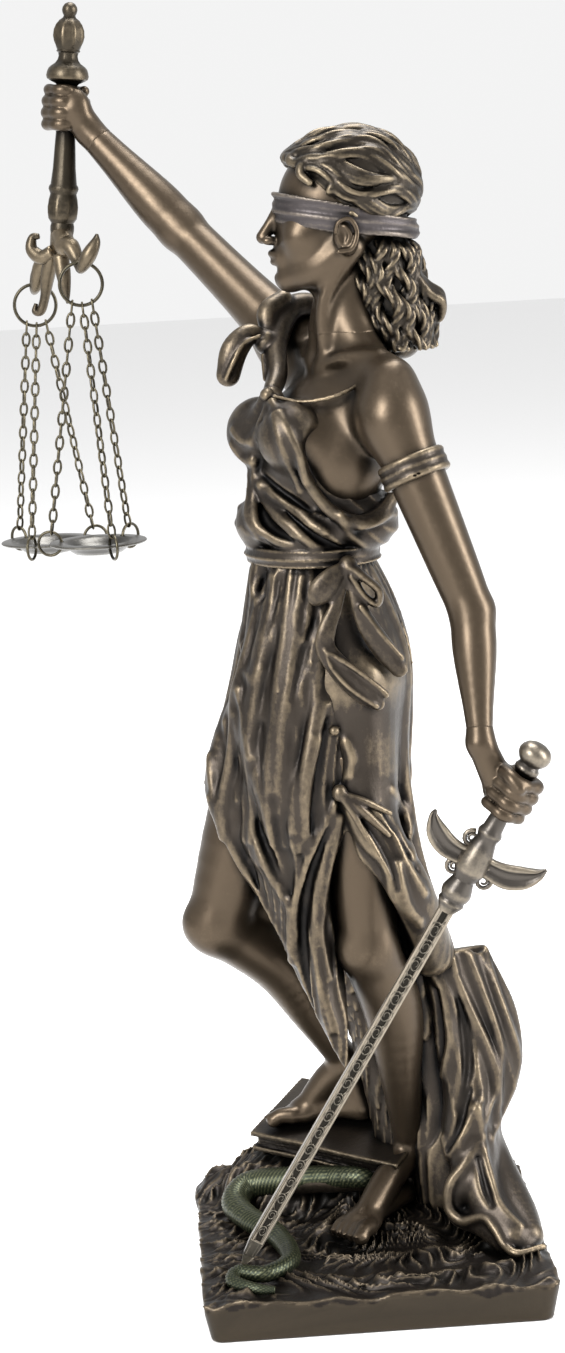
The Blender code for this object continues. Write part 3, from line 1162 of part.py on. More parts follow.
def box(name, centre, size):
    signs = [(x, y, z) for z in (-1, 1) for y in (-1, 1) for x in (-1, 1)]
    corners = [np.array(centre) + np.array(size) / 2 * sign for sign in signs]
    faces = ((0, 2, 3, 1), (4, 5, 7, 6), (0, 1, 5, 4), (2, 6, 7, 3), (0, 4, 6, 2), (1, 3, 7, 5))
    return mesh_object(name, corners, faces)


def sculpt(clay):
    model_legs(clay)
    model_torso(clay)
    model_arms(clay)
    model_head(clay)
    model_hair(clay)
    model_skirt(clay)
    model_train(clay)
    model_bodice(clay)
    model_bow(clay)
    model_straps(clay)
    model_hand(clay, LEFT_FIST, LEFT_WRIST, -SWORD_AXIS, GRIP_RADIUS)
    model_hand(clay, RIGHT_FIST, RIGHT_WRIST, HANDLE_TOP - HANDLE_END, HANDLE_GRIP, -1)
    model_ground(clay)
    model_book(clay)
    model_snake(clay)


def make_statue(material):
    """The casting: the clay's surface, made even, thinned out, and opened for the sword and the handle."""
    side, depth = PLINTH_WIDTH / 2 + CLAY_MARGIN, PLINTH_DEPTH / 2 + CLAY_MARGIN
    foot = MODELLED_PLINTH - PLINTH_HEIGHT
    low = (min(RIGHT_FIST[0] - 14, -side), min(-60, -depth), foot - CLAY_MARGIN)
    high = (max(62, side), max(66, depth), HAIR[2] + 34)
    clay = Clay(low, high, CLAY_STEP)
    sculpt(clay)
    obj = mesh_object("statue", *clay.faces(), material)
    even = obj.modifiers.new("even", "REMESH")
    even.mode, even.voxel_size = "VOXEL", CLAY_STEP * MM
    apply_modifiers(obj)
    keep_largest(obj)
    thin = obj.modifiers.new("thin", "DECIMATE")
    thin.ratio = STATUE_FACES / (2 * len(obj.data.polygons))
    apply_modifiers(obj)
    cutters = [
        mesh_object("hilt room", *hilt(FIT_GAP)),
        mesh_object("blade room", *blade(FIT_GAP)),
        mesh_object("handle room", *handle(FIT_GAP)),
        box("floor", (0, 0, foot - 10), (4 * PLINTH_WIDTH, 4 * PLINTH_DEPTH, 20)),
    ]
    cut_with(obj, cutters)
    keep_largest(obj)
    return obj


def main():
    clear_scene()
    bronze = metal("antique bronze", (0.20, 0.15, 0.10), 0.45)
    hung = metal("dark brass", (0.14, 0.12, 0.09), 0.40)
    make_statue(bronze)
    make_sword(metal("sword bronze", (0.19, 0.15, 0.10), 0.42))
    make_balance(metal("balance bronze", (0.19, 0.15, 0.10), 0.42))
    for side, parts in SIDES.items():
        make_ring("ring_" + side, parts["ring"], hung)
        make_pan("pan_" + side, parts["pan"], parts["turns"], hung)
        for k, turn in enumerate(parts["turns"]):
            make_hanger(f"hanger_{side}_{k + 1}", parts["pan"], turn, hung)
            make_chain(f"chain_{side}_{k + 1}", parts["ring"], parts["pan"], turn, 1 - k, hung)


main()
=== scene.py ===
"""The looks of a cast figurine of blindfolded Justice, with her sword and her balance.

Sizes are in millimetres, in the frame of the solids: the origin is the middle of the plinth's
underside, +Z is up, and she looks towards -X. Meshes are handed to Blender in metres.
"""

import math

import bpy
import numpy as np
from mathutils import Matrix, Vector


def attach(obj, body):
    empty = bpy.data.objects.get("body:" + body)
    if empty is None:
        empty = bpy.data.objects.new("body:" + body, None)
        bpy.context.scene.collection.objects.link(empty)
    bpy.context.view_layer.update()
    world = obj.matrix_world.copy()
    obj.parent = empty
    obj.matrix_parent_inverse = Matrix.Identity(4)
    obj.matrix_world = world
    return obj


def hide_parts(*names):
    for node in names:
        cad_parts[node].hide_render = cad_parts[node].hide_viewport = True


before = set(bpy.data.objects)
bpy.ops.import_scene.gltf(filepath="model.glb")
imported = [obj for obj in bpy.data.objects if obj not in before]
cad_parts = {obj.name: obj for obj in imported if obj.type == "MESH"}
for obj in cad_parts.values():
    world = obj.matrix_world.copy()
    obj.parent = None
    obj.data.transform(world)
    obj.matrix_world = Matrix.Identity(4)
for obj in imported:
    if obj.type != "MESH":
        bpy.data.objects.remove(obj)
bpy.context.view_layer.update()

# The camera stands a little above her waist, as the photograph's does, and is turned a little.
# Its focal length is given in the pixels of the photograph, which is 565 wide and 1353 high.
MM = 0.001
PHOTO_WIDTH, PHOTO_HEIGHT, FOCAL = 565, 1353, 3000
CAMERA_TURN, CAMERA_LIFT, CAMERA_ROLL = (math.radians(a) for a in (-2.0, 10.4, 3.2))
CAMERA_AIM, CAMERA_DISTANCE = np.array((-14.4, 0.0, 157.0)), 748.0


def unit(vector):
    vector = np.asarray(vector, float)
    return vector / np.linalg.norm(vector)


UP = np.array((0.0, 0.0, 1.0))
BACKWARD = np.array((
    math.sin(CAMERA_TURN) * math.cos(CAMERA_LIFT),
    -math.cos(CAMERA_TURN) * math.cos(CAMERA_LIFT), math.sin(CAMERA_LIFT)))
level = unit(np.cross(UP, BACKWARD))
raised = np.cross(BACKWARD, level)
SIDEWAYS = level * math.cos(CAMERA_ROLL) - raised * math.sin(CAMERA_ROLL)
UPWARD = raised * math.cos(CAMERA_ROLL) + level * math.sin(CAMERA_ROLL)
EYE = CAMERA_AIM + BACKWARD * CAMERA_DISTANCE

camera_data = bpy.data.cameras.new("camera")
camera_data.sensor_width = 36.0
camera_data.lens = camera_data.sensor_width * FOCAL / PHOTO_HEIGHT
camera = bpy.data.objects.new("camera", camera_data)
bpy.context.scene.collection.objects.link(camera)
camera.matrix_world = [
    [SIDEWAYS[i], UPWARD[i], BACKWARD[i], EYE[i] * MM] for i in range(3)] + [[0, 0, 0, 1]]
camera.matrix_world = camera.matrix_world.transposed()
bpy.context.scene.camera = camera


def sight(across, down):
    """The way from the camera through a place in the photograph."""
    return unit(-BACKWARD * FOCAL + SIDEWAYS * (across - PHOTO_WIDTH / 2) - UPWARD * (down - PHOTO_HEIGHT / 2))


# Plinth and ground: the foot of the casting, a square plinth with smooth sides that lean in a little,
# and on it rough ground with layers of rock at her right and grass round her feet. The casting is
# modelled in clay, as the maker's model was: a block of space that holds the distance to the surface.
EMPTY = 30.0


def smooth_path(points, steps):
    """A smooth run of rows through the given rows of numbers, with some steps between each two."""
    rows = np.array(points, float)
    ends = np.vstack([2 * rows[0] - rows[1], rows, 2 * rows[-1] - rows[-2]])
    made = []
    for before, start, end, after in zip(ends, ends[1:], ends[2:], ends[3:]):
        for t in np.arange(steps) / steps:
            made.append(
                0.5 * (2 * start + (end - before) * t
                       + (2 * before - 5 * start + 4 * end - after) * t**2
                       + (3 * start - before - 3 * end + after) * t**3)
            )
    return np.array(made + [rows[-1]])


class Clay:
    """A block of space on a grid that holds each point's distance to the modelled surface."""

    def __init__(self, low, high, step):
        self.low = np.array(low, float)
        self.step = step
        self.count = np.ceil((np.array(high) - self.low) / step).astype(int) + 1
        self.value = np.full(self.count, EMPTY, np.float32)

    def window(self, low, high):
        """The part of the grid between two corners, and its x, y and z."""
        first = np.floor((np.array(low) - self.low) / self.step).astype(int)
        last = np.ceil((np.array(high) - self.low) / self.step).astype(int) + 1
        first = np.clip(first, 0, self.count)
        last = np.clip(last, 0, self.count)
        part = tuple(slice(a, b) for a, b in zip(first, last))
        x, y, z = (self.low[i] + self.step * np.arange(first[i], last[i]) for i in range(3))
        return part, (x[:, None, None], y[None, :, None], z[None, None, :])

    def join(self, part, distance, blend):
        here = self.value[part]
        meet = np.maximum(blend - np.abs(here - distance), 0) / blend
        self.value[part] = np.minimum(here, distance) - meet * meet * blend / 4

    def cut(self, part, distance, blend):
        here = self.value[part]
        meet = np.maximum(blend - np.abs(here + distance), 0) / blend
        self.value[part] = np.maximum(here, -distance) + meet * meet * blend / 4

    def lump(self, centre, radii, turn=None, blend=2.0, cut=False):
        """An ellipsoid. turn holds its own three axes as rows."""
        reach = max(radii) + blend + 2 * self.step
        part, (x, y, z) = self.window(np.array(centre) - reach, np.array(centre) + reach)
        if 0 in self.value[part].shape:
            return
        axes = np.eye(3) if turn is None else np.array([unit(row) for row in turn])
        x, y, z = x - centre[0], y - centre[1], z - centre[2]
        near = far = 0
        for axis, radius in zip(axes, radii):
            along_axis = x * axis[0] + y * axis[1] + z * axis[2]
            near = near + (along_axis / radius) ** 2
            far = far + (along_axis / radius**2) ** 2
        near = np.sqrt(near)
        distance = near * (near - 1) / np.maximum(np.sqrt(far), 1e-6)
        (self.cut if cut else self.join)(part, distance, blend)

    def tube(self, points, blend=2.0, steps=6, flat=None, cut=False):
        """A round limb through rows of x, y, z and radius. flat is a direction and how much thinner it is."""
        rows = smooth_path(points, steps) if len(points) > 1 else np.array(points * 2, float)
        squash = np.eye(3)
        if flat is not None:
            axis = unit(flat[0])
            squash += (flat[1] - 1) * np.outer(axis, axis)
        reach = np.maximum(rows[:, 3], 0).max() + blend + 2 * self.step
        part, _ = self.window(rows[:, :3].min(0) - reach, rows[:, :3].max(0) + reach)
        corner = np.array([s.start for s in part])
        size = [max(s.stop - s.start, 0) for s in part]
        if min(size) == 0:
            return
        nearest = np.full(size, EMPTY, np.float32)
        for a, b in zip(rows, rows[1:]):
            span = max(a[3], b[3], 0) + blend + 2 * self.step
            piece, grid = self.window(np.minimum(a, b)[:3] - span, np.maximum(a, b)[:3] + span)
            inner = tuple(slice(s.start - c, s.stop - c) for s, c in zip(piece, corner))
            if 0 in nearest[inner].shape:
                continue
            offset = [(grid[i] - a[i]).astype(np.float32) for i in range(3)]
            run = squash @ (b - a)[:3]
            if flat is not None:
                offset = [sum(squash[i, j] * offset[j] for j in range(3)) for i in range(3)]
            t = sum(offset[i] * run[i] for i in range(3)) / max(run @ run, 1e-9)
            t = np.clip(t, 0, 1)
            gap = np.sqrt(sum((offset[i] - t * run[i]) ** 2 for i in range(3)))
            found = gap - (a[3] + (b[3] - a[3]) * t)
            nearest[inner] = np.minimum(nearest[inner], found)
        (self.cut if cut else self.join)(part, nearest, blend)

    def trim(self, point, normal, blend=0.4):
        """Cuts away what lies beyond a plane."""
        part, grid = self.window(self.low, self.low + self.step * self.count)
        gap = sum((grid[i] - point[i]) * unit(normal)[i] for i in range(3))
        self.cut(part, -gap, blend)

    def sample(self, points):
        """The distance at each of some points, from the eight grid points around it."""
        place = (np.asarray(points, float) - self.low) / self.step
        place = np.clip(place, 0, self.count - 1.001)
        base = place.astype(int)
        part = place - base
        total = 0
        for corner in np.ndindex(2, 2, 2):
            weight = np.prod(np.where(corner, part, 1 - part), axis=1)
            i, j, k = (base + corner).T
            total = total + weight * self.value[i, j, k]
        return total

    def hit(self, start, way, reach):
        """Where a ray that comes from outside first meets the surface."""
        line = np.asarray(start, float) + np.arange(0, reach, self.step * 0.7)[:, None] * way
        value = self.sample(line)
        inside = np.nonzero(value < 0)[0]
        if len(inside) == 0 or inside[0] == 0:
            return None
        last = inside[0]
        share = value[last - 1] / (value[last - 1] - value[last])
        return line[last - 1] + (line[last] - line[last - 1]) * share

    def lay(self, places, blend, side=None, sink=0.3, cut=False):
        """A fold laid on the surface, through rows of two places and a radius.

        The places are the photograph's, or else millimetres across and up as seen from a side: 0 from
        -Y and 90 from +X. sink is the share of the radius that lies below the surface.
        """
        laid = []
        for across, up, radius in smooth_path(places, 5):
            if side is None:
                way = sight(across, up)
                start = EYE + way * (CAMERA_DISTANCE - 100)
            else:
                turn = math.radians(side)
                way = np.array((-math.sin(turn), math.cos(turn), 0))
                start = np.array((math.cos(turn), math.sin(turn), 0)) * across - way * 75 + UP * up
            found = self.hit(start, way, 200)
            if found is not None:
                laid.append((*(found + way * radius * sink), radius))
        if len(laid) > 1:
            laid = np.array(laid)
            for _ in range(4):
                laid[1:-1, :3] = 0.5 * laid[1:-1, :3] + 0.25 * (laid[:-2, :3] + laid[2:, :3])
            self.tube(laid, blend, 1, cut=cut)

    def pleat(self, phase, deep, power=1.3):
        """Fine folds over the whole block, one for each whole number of the phase."""
        folds = (1 - np.abs(np.sin(math.pi * phase))) ** power - 0.35
        self.value -= (deep * folds * np.clip(1.5 - np.abs(self.value) / 3, 0, 1)).astype(np.float32)

    def fold(self, first, last, *places, blend=1.6, side=None, sink=0.3, cut=False):
        """A fold whose radius runs evenly from first to last."""
        radii = np.linspace(first, last, len(places))
        radii[[0, -1]] *= 0.4
        self.lay([(*place, radius) for place, radius in zip(places, radii)], blend, side, sink, cut)

    def grid(self):
        return self.window(self.low, self.low + self.step * self.count)[1]

    def crest(self, high, *places, blend=2.4, side=None):
        """A thin crest of cloth with hollow flanks, that rises from the surface and sinks back into it."""
        ease = np.sin(np.linspace(0.25, math.pi - 0.25, len(places))) ** 0.5
        rows = [(*place, 0.55 * high * share) for place, share in zip(places, ease)]
        self.lay(rows, blend, side, -0.75)

    def faces(self):
        """Points and four-sided faces of the surface, which faces outwards."""
        value = self.value
        inside = value < 0
        corners = list(np.ndindex(2, 2, 2))
        cells = self.count - 1
        held = sum(
            inside[i : i + cells[0], j : j + cells[1], k : k + cells[2]].astype(np.int8)
            for i, j, k in corners
        )
        active = (held > 0) & (held < 8)
        where = np.argwhere(active)
        number = np.full(cells, -1, np.int32)
        number[active] = np.arange(len(where))
        total = np.zeros((len(where), 3))
        hits = np.zeros(len(where))
        for axis in range(3):
            for start in corners:
                if start[axis]:
                    continue
                a = where + start
                b = a.copy()
                b[:, axis] += 1
                va, vb = value[tuple(a.T)], value[tuple(b.T)]
                crossed = (va < 0) != (vb < 0)
                t = np.where(crossed, va / np.where(crossed, va - vb, 1), 0)
                point = a.astype(float)
                point[:, axis] += t
                total += point * crossed[:, None]
                hits += crossed
        points = self.low + self.step * total / hits[:, None]
        quads = []
        for axis in range(3):
            u, v = (axis + 1) % 3, (axis + 2) % 3
            first = [slice(1, -1)] * 3
            second = [slice(1, -1)] * 3
            first[axis], second[axis] = slice(0, -1), slice(1, None)
            here, there = inside[tuple(first)], inside[tuple(second)]
            for solid_first in (True, False):
                found = np.argwhere((here != there) & (here == solid_first))
                found[:, u] += 1
                found[:, v] += 1
                ring = []
                for du, dv in ((-1, -1), (0, -1), (0, 0), (-1, 0)):
                    cell = found.copy()
                    cell[:, u] += du
                    cell[:, v] += dv
                    ring.append(number[tuple(cell.T)])
                quads.append(np.stack(ring if solid_first else ring[::-1], 1))
        return points, np.vstack(quads)


# The whole casting once more, on a coarse grid, for how deep each place of the surface lies, which sets its dark patina
# and its painted shade
casting = Clay((-76, -62, -6), (64, 70, 322), 1.2)
cast_pieces = []
ROUGH = 1.0


def cast(name, clay, triangles, material, rounds=2):
    """A piece of the casting from its clay, thinned out, with how rubbed and how deep it is to come."""
    part, grid = casting.window(clay.low + clay.step, clay.low + (clay.count - 2) * clay.step)
    shape = np.broadcast(*grid).shape
    spots = np.stack([np.broadcast_to(g, shape).ravel() for g in grid], 1)
    casting.value[part] = np.minimum(casting.value[part], clay.sample(spots).reshape(shape))
    points, quads = clay.faces()
    mesh = bpy.data.meshes.new(name)
    mesh.from_pydata(points * MM, [], quads)
    piece = bpy.data.objects.new(name, mesh)
    bpy.context.scene.collection.objects.link(piece)
    even = piece.modifiers.new("even", "SMOOTH")
    even.factor, even.iterations = 0.5, rounds
    if 2 * len(quads) > triangles:
        thin = piece.modifiers.new("thin", "DECIMATE")
        thin.ratio = triangles / (2 * len(quads))
    made = bpy.data.meshes.new_from_object(piece.evaluated_get(bpy.context.evaluated_depsgraph_get()))
    piece.modifiers.clear()
    piece.data = made
    made.shade_smooth()
    made.materials.append(material)
    cast_pieces.append(piece)
    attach(piece, "root")
    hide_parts("statue")
    return piece


def bronze(name, dark, middle, bright, gloss=0.36, grain=0.5, metal=0.85, tint=None):
    """Rubbed bronze: dark in what lies deep, as patina and as painted shade, bright where rubbed on what stands out,
    with a fine grain.
    """
    material = bpy.data.materials.new(name)
    material.use_nodes = True
    nodes, links = material.node_tree.nodes, material.node_tree.links
    shader = nodes["Principled BSDF"]
    place = nodes.new("ShaderNodeTexCoord").outputs["Object"]

    def noise(scale, detail=4.0, rough=0.6):
        node = nodes.new("ShaderNodeTexNoise")
        node.inputs["Scale"].default_value = scale
        node.inputs["Detail"].default_value = detail
        node.inputs["Roughness"].default_value = rough
        links.new(place, node.inputs["Vector"])
        return node.outputs["Fac"]

    def number(kind, a, b, c=None):
        node = nodes.new("ShaderNodeMath")
        node.operation = kind
        for value, socket in zip((a, b, c), node.inputs):
            if isinstance(value, (int, float)):
                socket.default_value = value
            elif value is not None:
                links.new(value, socket)
        return node.outputs[0]

    def mix(share, a, b):
        node = nodes.new("ShaderNodeMix")
        node.data_type = "RGBA"
        links.new(share, node.inputs["Factor"])
        for value, socket in ((a, node.inputs["A"]), (b, node.inputs["B"])):
            if isinstance(value, tuple):
                socket.default_value = (*value, 1)
            else:
                links.new(value, socket)
        return node.outputs["Result"]

    def read(attribute):
        node = nodes.new("ShaderNodeAttribute")
        node.attribute_name = attribute
        return node.outputs["Fac"]

    clouds, specks = noise(90), noise(900, 3.0, 0.7)
    # The share of the middle colour falls where the surface lies deep: darker patina there, and painted shade of the
    # hollows
    patina_and_shade_share = number("MULTIPLY_ADD", clouds, 0.5, number("MULTIPLY_ADD", read("patina_and_painted_shade"), 1.0, -0.25))
    rubbed = number("MULTIPLY_ADD", specks, 0.6, number("MULTIPLY_ADD", read("rubbed"), 1.0, -0.3))
    low = nodes.new("ShaderNodeMapRange")
    low.inputs["From Min"].default_value, low.inputs["From Max"].default_value = 0.15, 0.95
    links.new(patina_and_shade_share, low.inputs["Value"])
    high = nodes.new("ShaderNodeMapRange")
    high.inputs["From Min"].default_value, high.inputs["From Max"].default_value = 0.12, 0.95
    links.new(rubbed, high.inputs["Value"])
    colour = mix(low.outputs[0], dark, middle)
    if tint is not None:
        colour = mix(number("MULTIPLY", noise(160), 0.7), colour, tint)
    colour = mix(high.outputs[0], colour, bright)
    links.new(colour, shader.inputs["Base Color"])
    shader.inputs["Metallic"].default_value = metal
    links.new(number("MULTIPLY_ADD", specks, 0.22, gloss - 0.08), shader.inputs["Roughness"])
    bump = nodes.new("ShaderNodeBump")
    bump.inputs["Strength"].default_value = grain
    bump.inputs["Distance"].default_value = 0.0001
    links.new(number("MULTIPLY_ADD", noise(2600, 2.0), 0.5, specks), bump.inputs["Height"])
    links.new(bump.outputs["Normal"], shader.inputs["Normal"])
    return material


PLINTH_SIDE, PLINTH_HEIGHT, PLINTH_LEAN, PLINTH_CORNER = 88.0, 9.5, 1.8, 3.0
EARTH = bronze("dark earth bronze", (0.003, 0.0026, 0.002), (0.014, 0.011, 0.009), (0.085, 0.066, 0.044), 0.40)
SIDES = bronze("plinth side bronze", (0.020, 0.016, 0.011), (0.028, 0.022, 0.015), (0.040, 0.031, 0.021), 0.42, 0.3)


def ridges(x, y, turn, pitch, wander, power=1.0):
    """Sharp ridges from 0 to 1 that run across a direction and wander."""
    turn = math.radians(turn)
    along_run, over = x * math.cos(turn) + y * math.sin(turn), y * math.cos(turn) - x * math.sin(turn)
    over = over + wander * np.sin(along_run * 0.33 + 1.3 * np.sin(over * 0.21))
    over = over + 0.4 * wander * np.sin(along_run * 0.9 + over * 0.6)
    return (1 - np.abs(np.sin(math.pi * over / pitch))) ** power


def soil_edge(x, y):
    """How high the edge of the rough ground runs over the smooth side of the plinth."""
    return PLINTH_HEIGHT - 0.6 + 0.9 * np.sin(0.17 * (x + y) + 1.0) + 0.5 * np.sin(0.43 * (x - y)) + 0.3 * np.sin(0.9 * x)


def model_ground(clay):
    part, (x, y, z) = clay.window((-50, -50, -5), (50, 50, 60))
    lean = np.clip(PLINTH_LEAN * (1 - z / PLINTH_HEIGHT), -0.3, PLINTH_LEAN)
    dx = np.abs(x) - PLINTH_SIDE / 2 + lean + PLINTH_CORNER
    dy = np.abs(y) - PLINTH_SIDE / 2 + lean + PLINTH_CORNER
    outside = np.sqrt(np.maximum(dx, 0) ** 2 + np.maximum(dy, 0) ** 2)
    sides = outside + np.minimum(np.maximum(dx, dy), 0) - PLINTH_CORNER
    top = PLINTH_HEIGHT + 1.2 + 0.5 * np.sin(0.31 * x + 0.17 * y) + 0.4 * np.sin(0.23 * y - 0.12 * x + 1)
    top = top + 0.3 * np.sin(0.5 * x + 0.4)
    clay.join(part, np.maximum(sides + 0 * z, np.maximum(z - top, -z)), 0.5)
    clay.lump((8, 10, 9), (24, 20, 6.5), None, 4.0)
    clay.lump((-10, 26, 12), (26, 15, 12), None, 4.0)
    clay.lump((-20, 30, 12), (16, 11, 13), None, 4.0)
    clay.lump((-36, 37, 9), (8, 7, 7), None, 3.0)
    clay.trim((0, 0, 0), -UP, 0.1)
    rock = np.clip((-x - 12 + 0.5 * y) / 10, 0, 1)
    strata = ridges(x, y, 24, 3.8, 1.8) * (0.8 + 0.5 * np.sin(0.4 * x + 0.6 * y))
    strata = strata + 0.3 * ridges(x, y, 30, 2.2, 0.8)
    turn, reach = np.arctan2(y + 6, x - 6), np.hypot(x - 6, y + 6)
    wander = 1.2 * np.sin(0.2 * reach + 2 * turn) + 0.5 * np.sin(0.55 * reach + 5 * turn)
    grass = (1 - np.abs(np.sin(math.pi * (36 * turn / (2 * math.pi) + wander)))) ** 1.1
    grass = 1.5 * grass * (0.6 + 0.5 * np.sin(0.42 * reach + 1.6 * np.sin(3 * turn)))
    rim = np.clip((PLINTH_SIDE / 2 - np.maximum(np.abs(x), np.abs(y))) / 4, 0.3, 1)
    upper = np.clip((z - soil_edge(x, y)) / 0.8, 0, 1)
    relief = (rock * strata + (1 - rock) * grass) * 1.6 * rim - 0.5
    clay.value[part] = clay.value[part] - relief * upper


ground = Clay((-46, -46, -2), (46, 46, 42), 0.5 * ROUGH)
model_ground(ground)
ground.tube([(3.0, 6.0, 21.0, 2.2), (-9.0, 9.5, 21.0, 3.0), (-20.0, 15.0, 19.0, 3.0)], 2.0)
earth = cast("ground", ground, 140000, EARTH)
earth.data.materials.append(SIDES)
for polygon in earth.data.polygons:
    x, y, z = polygon.center / MM
    if max(abs(x), abs(y)) > PLINTH_SIDE / 2 - PLINTH_LEAN - 0.6 and z < soil_edge(x, y) + 0.3:
        polygon.material_index = 1

# The snake, green with old patina: it comes from under the book, turns back on itself behind the
# blade, and ends in a thin tail in front of the sword's point. Rows of scales cross its back.
SNAKE = (
    (3.0, 6.0, 21.0, 1.6), (-1.0, 5.0, 23.0, 2.6), (-9.0, 9.5, 22.0, 3.1), (-20.0, 15.0, 20.0, 3.5),
    (-30.0, 18.5, 18.0, 3.7), (-34.0, 13.0, 15.5, 3.6), (-31.0, 4.0, 14.5, 3.2), (-25.0, -6.0, 14.0, 2.9),
    (-21.5, -18.0, 13.5, 2.5), (-22.0, -26.0, 13.3, 2.3), (-28.0, -31.5, 13.0, 2.1), (-34.5, -29.5, 13.0, 1.9),
    (-36.0, -34.0, 12.6, 1.7), (-31.0, -39.0, 12.4, 1.4), (-26.0, -40.0, 12.0, 0.9),
)
SCALE_LONG, SCALES_ROUND, SCALE_HIGH, SNAKE_SIDES = 1.1, 10, 0.28, 40
VERDIGRIS = bronze(
    "green bronze", (0.003, 0.004, 0.0025), (0.013, 0.016, 0.009), (0.085, 0.088, 0.046), 0.38, 0.5, 0.7,
    (0.010, 0.018, 0.008))


def loose_skin(name, rings, material):
    """A closed mesh over rings of points, each as long as the first."""
    count, faces = len(rings[0]), []
    for k in range(len(rings) - 1):
        for i in range(count):
            j = (i + 1) % count
            faces.append((k * count + i, k * count + j, (k + 1) * count + j, (k + 1) * count + i))
    faces.append(tuple(range(count - 1, -1, -1)))
    faces.append(tuple((len(rings) - 1) * count + i for i in range(count)))
    mesh = bpy.data.meshes.new(name)
    mesh.from_pydata(np.vstack(rings) * MM, [], faces)
    mesh.shade_smooth()
    mesh.materials.append(material)
    piece = bpy.data.objects.new(name, mesh)
    bpy.context.scene.collection.objects.link(piece)
    bpy.ops.object.select_all(action="DESELECT")
    bpy.context.view_layer.objects.active = piece
    piece.select_set(True)
    bpy.ops.object.mode_set(mode="EDIT")
    bpy.ops.mesh.select_all(action="SELECT")
    bpy.ops.mesh.normals_make_consistent(inside=False)
    bpy.ops.object.mode_set(mode="OBJECT")
    return piece


snake_path = smooth_path(SNAKE, 22)
rings, run = [], 0.0
for k, (x, y, z, radius) in enumerate(snake_path):
    ahead = unit(snake_path[min(k + 1, len(snake_path) - 1), :3] - snake_path[max(k - 1, 0), :3])
    side = unit(np.cross(ahead, UP))
    over = np.cross(side, ahead)
    if k:
        run += np.linalg.norm(snake_path[k, :3] - snake_path[k - 1, :3])
    turns = 2 * math.pi * np.arange(SNAKE_SIDES) / SNAKE_SIDES
    u, v = run / SCALE_LONG, SCALES_ROUND * turns / (2 * math.pi)
    scales = np.abs(np.sin(math.pi * (u + v))) * np.abs(np.sin(math.pi * (u - v)))
    reach = radius + SCALE_HIGH * (scales - 0.5) * min(1, radius / 1.5)
    rings.append(np.array((x, y, z)) + reach[:, None] * (np.cos(turns)[:, None] * side + np.sin(turns)[:, None] * over))
snake = loose_skin("snake", rings, VERDIGRIS)
cast_pieces.append(snake)
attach(snake, "root")
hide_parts("statue")

# The closed book under her right foot, part of the casting: two boards, a worn spine and a block of
# leaves a little smaller than the boards, whose edges show fine lines.
BOOK_CORNER = np.array((-29.0, 24.0, 31.0))
BOOK_RUN = unit((36, -25, -3.0))
BOOK_UP = unit(np.cross(BOOK_RUN, (15.7, 18.0, 6.5)))
BOOK_WIDE = np.cross(BOOK_UP, BOOK_RUN)
BOOK_LONG, BOOK_DEEP, BOOK_THICK, BOARD, PAGE_INSET = 45.0, 27.0, 6.0, 1.4, 1.2
BOOK_BRONZE = bronze("book bronze", (0.004, 0.003, 0.0025), (0.020, 0.016, 0.0125), (0.11, 0.086, 0.056), 0.38)


def model_book(clay):
    centre = BOOK_CORNER + BOOK_RUN * BOOK_LONG / 2 + BOOK_WIDE * BOOK_DEEP / 2 - BOOK_UP * BOOK_THICK / 2
    part, (x, y, z) = clay.window(centre - 34, centre + 34)
    x, y, z = x - centre[0], y - centre[1], z - centre[2]
    run, wide, up = (x * a[0] + y * a[1] + z * a[2] for a in (BOOK_RUN, BOOK_WIDE, BOOK_UP))
    leaves = 0.16 * np.sin(2 * math.pi * up / 0.9 + 0.5 * np.sin(run * 0.3))
    warp = 0.25 * np.sin(run * 0.22) + 0.15 * np.sin(wide * 0.35 + 1)
    pages = np.maximum.reduce([
        np.abs(run) - BOOK_LONG / 2 + PAGE_INSET + leaves, np.abs(wide) - BOOK_DEEP / 2 + PAGE_INSET + leaves,
        np.abs(up) - BOOK_THICK / 2 + 0.3])
    boards = np.maximum.reduce([
        np.abs(run) - BOOK_LONG / 2, np.abs(wide) - BOOK_DEEP / 2,
        np.abs(np.abs(up + warp * 0.4) - BOOK_THICK / 2 + BOARD / 2) - BOARD / 2])
    clay.join(part, pages, 0.2)
    clay.join(part, boards, 0.3)


book = Clay((-36, -8, 18), (24, 46, 42), 0.4 * ROUGH)
model_book(book)
cast("book", book, 30000, BOOK_BRONZE)

# Her skin: legs, trunk and arms, head and hands, all of the one casting and burnished smooth. She
# stands 268 mm from the ground to her hair, and her chest is turned 25 degrees to her left.
SKIN = bronze("burnished bronze", (0.008, 0.006, 0.004), (0.060, 0.044, 0.029), (0.135, 0.102, 0.068), 0.33, 0.14)
TURN = math.radians(25)
FRONT = np.array((-math.cos(TURN), -math.sin(TURN), 0.0))
LEFT = np.array((math.sin(TURN), -math.cos(TURN), 0.0))
BODY_AXES = [FRONT, LEFT, UP]
PELVIS, WAIST, CHEST = (-3.0, 0.0, 158.0), (-6.2, 0.0, 187.0), (-1.5, 0.0, 212.0)
SHOULDERS, NECK, SKULL = (5.5, 0.0, 228.0), (5.6, 1.0, 232.0), (7.0, 1.0, 273.5)
LEFT_KNEE, LEFT_ANKLE, LEFT_TOES = (2.9, -9.5, 88.6), (12.3, 9.0, 28.0), (-6.0, -13.0, 15.0)
RIGHT_KNEE, RIGHT_ANKLE, RIGHT_TOES = (-34.4, 8.0, 92.5), (-2.4, 22.0, 49.0), (-20.0, 27.0, 34.0)
LEFT_SHOULDER, LEFT_ELBOW = (14.6, -22.5, 222.0), (30.4, -33.0, 176.0)
LEFT_WRIST, LEFT_FIST = (30.0, -43.0, 146.0), (36.6, -44.9, 133.6)
RIGHT_SHOULDER, RIGHT_ELBOW = (-6.0, 23.0, 238.0), (-32.5, 43.0, 267.5)
RIGHT_WRIST, RIGHT_FIST = (-54.6, 52.5, 293.3), (-60.1, 55.0, 299.5)
SWORD_TIP, SWORD_TOP = np.array((-33.3, -28.0, 14.6)), np.array((43.9, -46.7, 145.6))
SWORD_AXIS = unit(SWORD_TOP - SWORD_TIP)
